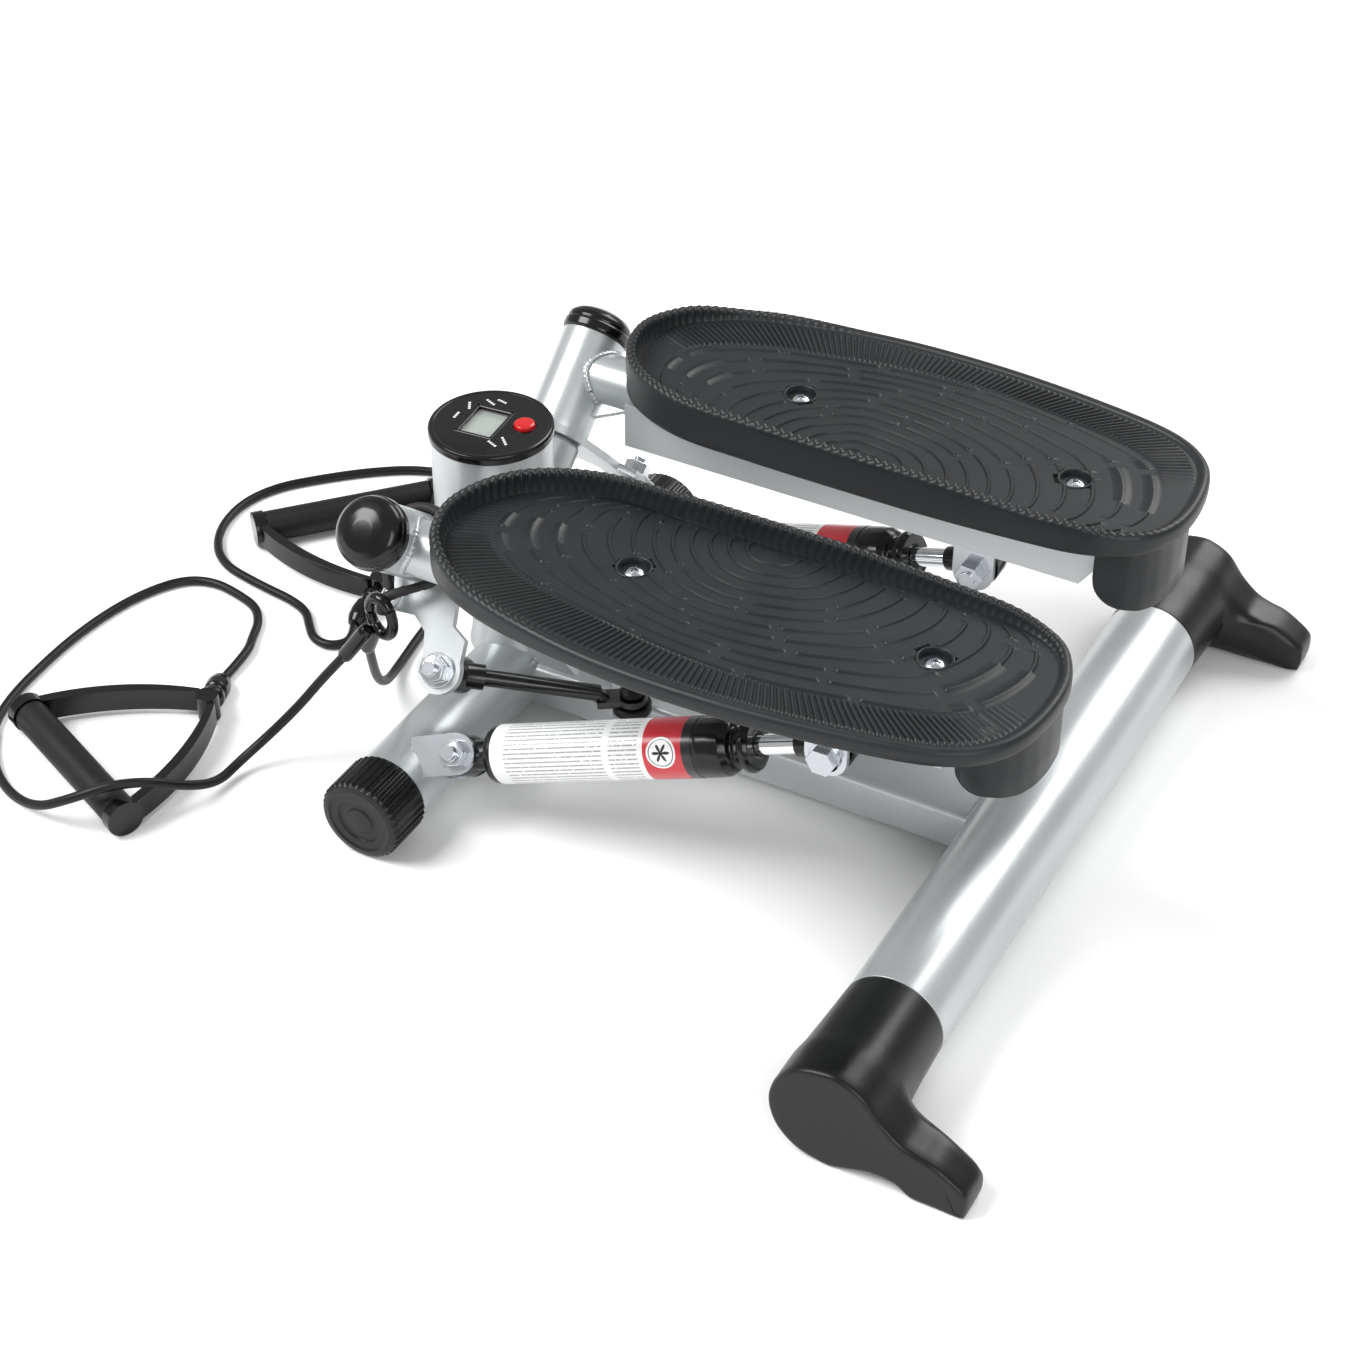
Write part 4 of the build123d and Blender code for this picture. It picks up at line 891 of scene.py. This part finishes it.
# %% Pedal bolts
def bolt_head(x, y, seat):
    r = np.concatenate([[0, 0.3], np.linspace(0.6, 5.2, 17), [5.7, 6.0, 6.0, 5.8, 5.0]])
    a = np.linspace(0, 2 * math.pi, 96, endpoint=False)
    px = r[:, None] * np.cos(a)
    py = r[:, None] * np.sin(a)
    z = seat + 4.1 - 2.6 * (r[:, None] / 6.0) ** 2.2 * np.ones_like(px)
    z[-3] = seat + 0.6
    z[-2:] = seat
    cross = (np.minimum(np.abs(px), np.abs(py)) < 0.62) & (np.hypot(px, py) < 2.9)
    z -= 1.5 * cross
    return in_frame(np.stack([px + x, py + y, z], -1))


heads = [bolt_head(x, y, 167.5) for x, y in BOLTS]
for x, y in BOLTS:
    heads.append(lathe([(0, 148), (4, 148), (4, 167.5), (0, 167.5)], at(x, y, 0), UP, 32, 0.3))
    heads.append(lathe([(0, 151.5), (6.6, 151.5), (6.6, 157.5), (0, 157.5)], at(x, y, 0), UP, 6, 0.3))
both("pedal_screws", heads, "*_arm", zinc, "zinc", "pedal_bolts", sharp=40)

# %% [markdown]
# ## Dampers
# A black cylinder with a printed sleeve round most of it, a glossy neck with rings, a chrome
# plunger and a black end eye.

# %% Damper surfaces
DAMPER_FRONT = np.array([103.9, 116.7, 38.3])
DAMPER_REAR = np.array([82.5, -77.0, 108.0])
CYLINDER_R = 15.0
damper_line = (DAMPER_REAR - DAMPER_FRONT) / np.linalg.norm(DAMPER_REAR - DAMPER_FRONT)
DAMPER_LEN = float(np.linalg.norm(DAMPER_REAR - DAMPER_FRONT))
damper_foot = at(*DAMPER_FRONT)
can = [(0, 18), (11.5, 18), (14.2, 19.6), (CYLINDER_R - 0.25, 22), (CYLINDER_R - 0.25, 60),
       (CYLINDER_R - 0.25, 138.8), (0, 138.8)]
flat_axis = AXIS - damper_line * (AXIS @ damper_line)
eye = lathe([(0, -5.5), (10.5, -5.5), (10.5, 5.5), (0, 5.5)], damper_foot, flat_axis, 48, 0.7)
both("damper_can", [lathe(can, damper_foot, damper_line, 96, 0.6), eye,
                    lathe([(0, 4), (7.8, 4), (7.8, 19), (0, 19)], damper_foot, damper_line, 48, 0.5)],
     "damper_*", steel_black, "damper_paint", "damper_cylinder", sharp=45)
neck = [(5.2, 136), (CYLINDER_R - 0.2, 138.6), (CYLINDER_R - 0.1, 140), (14.9, 146), (14.5, 151),
        (12.4, 154.4), (10.4, 155.6), (9.9, 156.4), (10.6, 157.2), (11.3, 158), (10.6, 158.9),
        (10.2, 159.6), (12.2, 160.6), (13.3, 161.4), (13.4, 163.8), (12.0, 166), (6.5, 166),
        (5.2, 165.4), (5.1, 150), (5.2, 136)]
both("damper_neck", [lathe(neck, damper_foot, damper_line, 96, 0.5)], "damper_*", gloss_black,
     "black_plastic", "damper_gland", sharp=60)
plunger = [(0, 70), (5, 70), (5, 120), (5, DAMPER_LEN - 19), (0, DAMPER_LEN - 19)]
both("plunger_rod", [lathe(plunger, damper_foot, damper_line, 64, 0.2)], "plunger_*", chrome, "chrome",
     "piston_rod")
rear_eye = lathe([(6.6, -5.5), (11.5, -5.5), (11.5, 5.5), (6.6, 5.5), (6.6, -5.5)],
                 at(*DAMPER_REAR), (1, 0, 0), 64, 0.6)
ferrule = lathe([(0, DAMPER_LEN - 20), (6.3, DAMPER_LEN - 20), (6.5, DAMPER_LEN - 14),
                 (6.3, DAMPER_LEN - 8.4), (0, DAMPER_LEN - 8.4)], damper_foot, damper_line, 48, 0.6)
both("plunger_eye", [rear_eye, ferrule], "plunger_*", gloss_black, "black_plastic", sharp=50)


# %% [markdown]
# The printed sleeve is a thin sheet rolled round the cylinder. It carries its own map in
# millimetres, along and round the cylinder, and the material prints on that map: rows of grey
# strokes where the small print would be, a red band, and a white disc with a plain mark.

# %% Damper label
LABEL_START = 24.0
LABEL_END = 137.0
LABEL_R = CYLINDER_R - 0.05
LABEL_SPAN = math.radians(292)
RED_START = 111.0
RED_END = 132.0
DISC_S = 121.0
DISC_ROUND = -9.0
DISC_R = 8.0
label_out = np.array([0.55, 0.0, 1.0])
label_out = label_out - damper_line * (label_out @ damper_line)
label_out /= np.linalg.norm(label_out)
label_side = np.cross(damper_line, label_out)


def label(sign):
    """A thin sheet round part of the cylinder; rows along it, columns out over it and back under it."""
    a = np.linspace(-LABEL_SPAN / 2, LABEL_SPAN / 2, 97)
    s = np.linspace(LABEL_START, LABEL_END, 12)
    radius = np.concatenate([np.full(97, LABEL_R), np.full(97, LABEL_R - 0.16)])
    angle = np.concatenate([a, a[::-1]])
    ring = (np.cos(angle)[:, None] * label_out + np.sin(angle)[:, None] * label_side) * radius[:, None]
    grid = damper_foot + (ring[None] + s[:, None, None] * damper_line) * MM
    return grid * np.array([sign, 1, 1])


print_stock, tree, bsdf = new_material("printed_vinyl", Roughness=0.3, Coat_Weight=0.3, Coat_Roughness=0.15)
uv = add(tree, "ShaderNodeUVMap", uv_map="print").outputs["UV"]
apart = add(tree, "ShaderNodeSeparateXYZ", {"Vector": uv})
s_mm, round_mm = apart.outputs["X"], apart.outputs["Y"]


def maths(operation, a, b=0.0, c=None):
    inputs = {0: a, 1: b} if c is None else {0: a, 1: b, 2: c}
    return add(tree, "ShaderNodeMath", inputs, operation=operation).outputs[0]


def between(value, low, high):
    return maths("MULTIPLY", maths("GREATER_THAN", value, low), maths("LESS_THAN", value, high))


stroke = maths("LESS_THAN", maths("PINGPONG", round_mm, 1.15), 0.42)
row_number = maths("ROUND", maths("DIVIDE", round_mm, 2.3))
word_place = add(tree, "ShaderNodeCombineXYZ", {"X": maths("MULTIPLY", s_mm, 0.55),
                                                "Y": maths("MULTIPLY", row_number, 7.3)}).outputs[0]
words = add(tree, "ShaderNodeTexNoise", {"Vector": word_place, "Scale": 1.6, "Detail": 3.0, "Roughness": 0.8})
inked = maths("GREATER_THAN", words.outputs["Fac"], 0.42)
first_block = between(s_mm, 32.0, 88.0)
second_block = between(s_mm, 92.0, 108.0)
blocks = maths("MULTIPLY", maths("MAXIMUM", first_block, second_block),
               between(maths("ABSOLUTE", round_mm), -1.0, 33.0))
text = maths("MULTIPLY", maths("MULTIPLY", stroke, inked), blocks)
paper = add(tree, "ShaderNodeMix", {"Factor": maths("MULTIPLY", text, 0.75), "A": linear("E4E5E5"),
                                    "B": linear("6E7072")}, data_type="RGBA").outputs["Result"]
red_zone = between(s_mm, RED_START, RED_END)
reddened = add(tree, "ShaderNodeMix", {"Factor": red_zone, "A": paper, "B": linear("C22330")},
               data_type="RGBA").outputs["Result"]
dx = maths("SUBTRACT", s_mm, DISC_S)
dy = maths("SUBTRACT", round_mm, DISC_ROUND)
disc_r = maths("SQRT", maths("ADD", maths("MULTIPLY", dx, dx), maths("MULTIPLY", dy, dy)))
rays = maths("COSINE", maths("MULTIPLY", 6.0, maths("ARCTAN2", dy, dx)))
star = maths("ADD", 2.9, maths("MULTIPLY", 1.9, rays))
disc_mix = add(tree, "ShaderNodeMix", {"Factor": maths("LESS_THAN", disc_r, DISC_R), "A": reddened,
                                       "B": linear("ECECEC")}, data_type="RGBA").outputs["Result"]
mark = maths("MAXIMUM", maths("LESS_THAN", disc_r, star), between(disc_r, 6.4, 6.9))
final = add(tree, "ShaderNodeMix", {"Factor": mark, "A": disc_mix, "B": linear("18191A")},
            data_type="RGBA").outputs["Result"]
ends = maths("GREATER_THAN", s_mm, RED_END)
final = add(tree, "ShaderNodeMix", {"Factor": ends, "A": final, "B": linear("0E0F10")}, data_type="RGBA")
tree.links.new(final.outputs["Result"], bsdf.inputs["Base Color"])
grain(tree, bsdf, object_place(tree), 5.0, 0.01)

for side, sign in SIDES:
    sheet = make_piece("damper_label_" + side, [label(sign)], "damper_" + side, print_stock, "damper_paint",
                       sharp=30)
    mesh = sheet.data
    co = np.empty(len(mesh.vertices) * 3)
    mesh.vertices.foreach_get("co", co)
    local = (co.reshape(-1, 3) * np.array([sign, 1, 1]) - damper_foot) / MM
    along_mm = local @ damper_line
    around_mm = np.arctan2(local @ label_side, local @ label_out) * CYLINDER_R
    corner = np.empty(len(mesh.loops), int)
    mesh.loops.foreach_get("vertex_index", corner)
    layer = mesh.uv_layers.new(name="print")
    layer.data.foreach_set("uv", np.column_stack([along_mm, around_mm])[corner].ravel())

# %% [markdown]
# ## Counter
# The round counter closes the top of the post: a glossy bezel with a shallow step, a window over
# the grey display, and a red button. A few pale bars stand where the captions would be.

# %% Counter
post_top = post_high.z
counter_turn = math.radians(5.0)
counter_at = np.array([0.0, post_foot[1], post_top])
cx = np.array([math.cos(counter_turn), math.sin(counter_turn), 0.0])
cy = np.array([-math.sin(counter_turn), math.cos(counter_turn), 0.0])


def on_counter(x, y, z):
    """Point on the counter: x and y in its own turned axes, z above the top of the post."""
    return counter_at + (cx * x + cy * y + UP * z) * MM


bezel = lathe([(29.2, 0.0), (31.9, 0.0), (32.0, 0.8), (32.0, 3.4), (31.4, 4.5), (30.4, 4.9), (29.4, 4.8),
               (28.8, 4.4), (28.6, 4.0), (29.2, 0.0)], counter_at, UP, 128, 0.25)
make_piece("counter_bezel", [bezel], "frame", gloss_black, "black_plastic", sharp=60)


def bar_box(x, y, wide, deep, turn_deg, low, high):
    """A small flat bar on the counter, turned in its plane."""
    t = math.radians(turn_deg)
    ux = cx * math.cos(t) + cy * math.sin(t)
    uy = -cx * math.sin(t) + cy * math.cos(t)
    base = on_counter(x, y, low)
    return extruded(np.array([(-wide / 2, -deep / 2), (wide / 2, -deep / 2), (wide / 2, deep / 2),
                              (-wide / 2, deep / 2)]), base, base + UP * (high - low) * MM, ux, uy)


caption_ink, tree, bsdf = new_material("pad_printed_ink", Roughness=0.5)
patchy(tree, bsdf, object_place(tree), ("C6C9CB", "DADCDD"), 1.5, (0.4, 0.6))
captions = []
for x, y, length, angle in ((-16.5, -9, 7, 62), (-12.0, -13.5, 8, 42), (17.5, 9, 7, 62), (20.5, 4, 6, 75),
                            (10.5, 17.5, 7, 25), (0, 19.5, 6, 0)):
    for k in range(4):
        t = math.radians(angle)
        d = (k - 1.5) * length / 4
        captions.append(bar_box(x + d * math.cos(t), y + d * math.sin(t), length / 6, 1.3, angle, 4.55, 4.72))
make_piece("counter_captions", captions, "frame", caption_ink, "black_plastic", sharp=30)
window = [bar_box(0, 3.5 + dy, 26.5, 1.2, 0, 4.4, 5.0) for dy in (-9.6, 9.6)]
window += [bar_box(dx, 3.5, 1.2, 20.4, 0, 4.4, 5.0) for dx in (-12.7, 12.7)]
make_piece("window_frame", window, "frame", gloss_black, "black_plastic", sharp=30, bevel=0.25)

lcd, tree, bsdf = new_material("lcd_glass", Roughness=0.22, Coat_Weight=0.5, Coat_Roughness=0.05)
place = object_place(tree)
patchy(tree, bsdf, place, ("8D9690", "9CA59E"), 14.0, (0.2, 0.3))
fr4, tree, bsdf = new_material("green_circuit_board", Roughness=0.4)
patchy(tree, bsdf, object_place(tree), ("1E5A38", "26683F"), 3.0, (0.35, 0.5))
lens_clear, tree, bsdf = new_material("acrylic_window", Roughness=0.04, Alpha=0.1, IOR=1.49)
grain(tree, bsdf, object_place(tree), 8.0, 0.004)
softened("lcd_screen", lcd, 0.2)
softened("display_lens", lens_clear, 0.15)
softened("circuit_board", fr4, 0.1)
softened("battery_cell", zinc, 0.2)
button_low, button_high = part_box("reset_button")
button_at = [(button_low.x + button_high.x) / 2, (button_low.y + button_high.y) / 2, post_top]
button = lathe([(0, 0.7), (6.6, 0.7), (6.6, 1.8), (5.5, 2.0), (5.5, 5.2), (5.2, 6.2), (4.2, 6.7),
                (2.5, 6.9), (0, 7.0)], button_at, UP, 64, 0.3)
make_piece("button", [button], "counter_button", red_abs, "button_red", ("reset_button",))

# %% [markdown]
# ## Hand grips
# A foam tube between two moulded ends, and the bow that joins them to the band.

# %% Hand grips
grip_grids = []
for side, _ in SIDES:
    (x, y), heading = HANDLES[side]
    t = math.radians(heading)
    run = np.array([-math.sin(t), math.cos(t), 0.0])
    start = at(x, y, GRIP_END_R) - run * 49 * MM
    foam_profile = [(0, 0), (8.2, 0), (9.0, 0.8), (9.0, 30), (9.0, 68), (9.0, 97.2), (8.2, 98), (0, 98)]
    grip_grids.append(lathe(foam_profile, start, run, 72, 0.5))
make_piece("grip_tubes", grip_grids, "frame", foam, "grip_foam", ("handle_grips",))
for side, _ in SIDES:
    softened("handle_bow_" + side, gloss_black, 1.2)

# %% [markdown]
# ## Strap and hook
# A cord is looped round the left sleeve. Its two strands hang to an oval ring, which holds the
# sleeves crimped on the ends of the bands.

# %% Strap and hook
HOOK = at(-93.0, 169.0, 101.0)
LEFT_AXIS = AXIS * np.array([-1, 1, 1])
LEFT_ACROSS = ACROSS * np.array([-1, 1, 1])
STRAP_S = 91.0
ring_centre = APEX + LEFT_AXIS * STRAP_S * MM
hook_way = HOOK - ring_centre
hook_angle = math.atan2(hook_way @ FORWARD, hook_way @ LEFT_ACROSS)
open_half = math.radians(38)
STRAP_STEPS = 90
t = np.linspace(hook_angle + open_half, hook_angle + 2 * math.pi - open_half, STRAP_STEPS)
loop_r = 19.6 * MM
strands = ring_centre + loop_r * (np.cos(t)[:, None] * LEFT_ACROSS + np.sin(t)[:, None] * FORWARD)
strands = strands + LEFT_AXIS * (1.6 * MM * np.sin(np.linspace(0, math.pi, STRAP_STEPS)))[:, None]


def smooth_path(points, count):
    """Open Catmull-Rom curve through the points."""
    p = np.asarray(points, float)
    p = np.concatenate([2 * p[:1] - p[1:2], p, 2 * p[-1:] - p[-2:-1]])
    t = np.linspace(0, len(p) - 3 - 1e-9, count)
    i = t.astype(int)
    return between_points(*(p[i + k] for k in range(4)), (t - i)[:, None])


near_hook = HOOK + (ring_centre - HOOK) * 0.22
cord_path = np.concatenate([smooth_path([HOOK, near_hook, strands[0]], 20)[:-1], strands,
                            smooth_path([strands[-1], near_hook + LEFT_AXIS * 0.004, HOOK], 20)[1:]])
strap = weld(cord_path, 2.5, 0.12, 1.6, closed=False)
collar_grid = lathe([(0, -4), (4.6, -4), (5.0, -3), (5.0, 3), (4.6, 4), (0, 4)], near_hook,
                    ring_centre - HOOK, 40, 0.4)
make_piece("strap_cord", [strap], "frame", webbing, "webbing", ("strap_loop",), sharp=70)
make_piece("strap_crimp", [collar_grid], "frame", zinc, "zinc")
a = np.linspace(0, 2 * math.pi, 64, endpoint=False)
oval = HOOK + MM * (8.6 * np.cos(a)[:, None] * np.array([0.2, 0.9, 0.1]) + 11.5 * np.sin(a)[:, None]
                    * np.array([-0.1, -0.1, 1.0])) - UP * 2 * MM
hook_grids = [weld(oval, 3.0, 0.0, 5.0)]
for name in ("left", "right"):
    points = tubes[name].data.splines[0].points
    last = np.array(points[len(points) - 1].co[:3])
    way = HOOK - last
    reach_mm = float(np.linalg.norm(way)) / MM
    hook_grids.append(lathe([(0, -3), (3.6, -3), (4.0, -1), (4.0, reach_mm - 16), (3.2, reach_mm - 13),
                             (0, reach_mm - 12)], last, way, 40, 0.5))
make_piece("hook_ring", hook_grids, "frame", gloss_black, "black_plastic", ("band_hook",), sharp=60)

# %% [markdown]
# ## Small hardware
# Bolts, washers and pins are the CAD parts with their edges softened.

# %% Small hardware
for node in ("shaft_retainers", "bracket_bolts", "rocker_pivot"):
    softened(node, zinc, 0.35)
softened("rocker_pads", latex, 0.8)
for side, _ in SIDES:
    softened("rod_pin_" + side, zinc, 0.35)
    softened("clevis_pin_" + side, zinc, 0.35)
    softened("pivot_bushes_" + side, bronze, 0.2)

# %% [markdown]
# ## Floor and light
# A pale floor, two large soft lamps and an even sky.

# %% Floor and light
floor_mesh = bpy.data.meshes.new("floor")
floor_mesh.from_pydata([(-6, -6, 0), (6, -6, 0), (6, 6, 0), (-6, 6, 0)], [], [(0, 1, 2, 3)])
floor = bpy.data.objects.new("floor", floor_mesh)
bpy.context.scene.collection.objects.link(floor)
paint, tree, bsdf = new_material("matt_white_floor", Roughness=0.9)
patchy(tree, bsdf, object_place(tree), ("F4F4F4", "F6F6F6"), 400.0)
floor_mesh.materials.append(paint)


def lamp(name, place, aim, size, power):
    data = bpy.data.lights.new(name, "AREA")
    data.shape = "SQUARE"
    data.size = size
    data.energy = power
    light = bpy.data.objects.new(name, data)
    light.location = place
    way = np.array(aim) - np.array(place)
    u, v, w = frame_of(-way)
    light.matrix_world = Matrix([[u[i], v[i], w[i], place[i]] for i in range(3)] + [[0, 0, 0, 1]])
    bpy.context.scene.collection.objects.link(light)


lamp("key", (-1.2, 1.6, 2.4), (0, 0, 0.1), 1.6, 95)
lamp("fill", (1.8, -0.6, 1.7), (0, 0, 0.1), 1.4, 40)
lamp("behind", (-1.6, -1.8, 1.4), (0, 0, 0.1), 1.4, 26)
sky = bpy.data.worlds.new("sky")
sky.use_nodes = True
sky.node_tree.nodes["Background"].inputs["Color"].default_value = linear("FFFFFF")
sky.node_tree.nodes["Background"].inputs["Strength"].default_value = 0.5
bpy.context.scene.world = sky
bpy.context.scene.view_settings.view_transform = "Standard"
print("lights made")
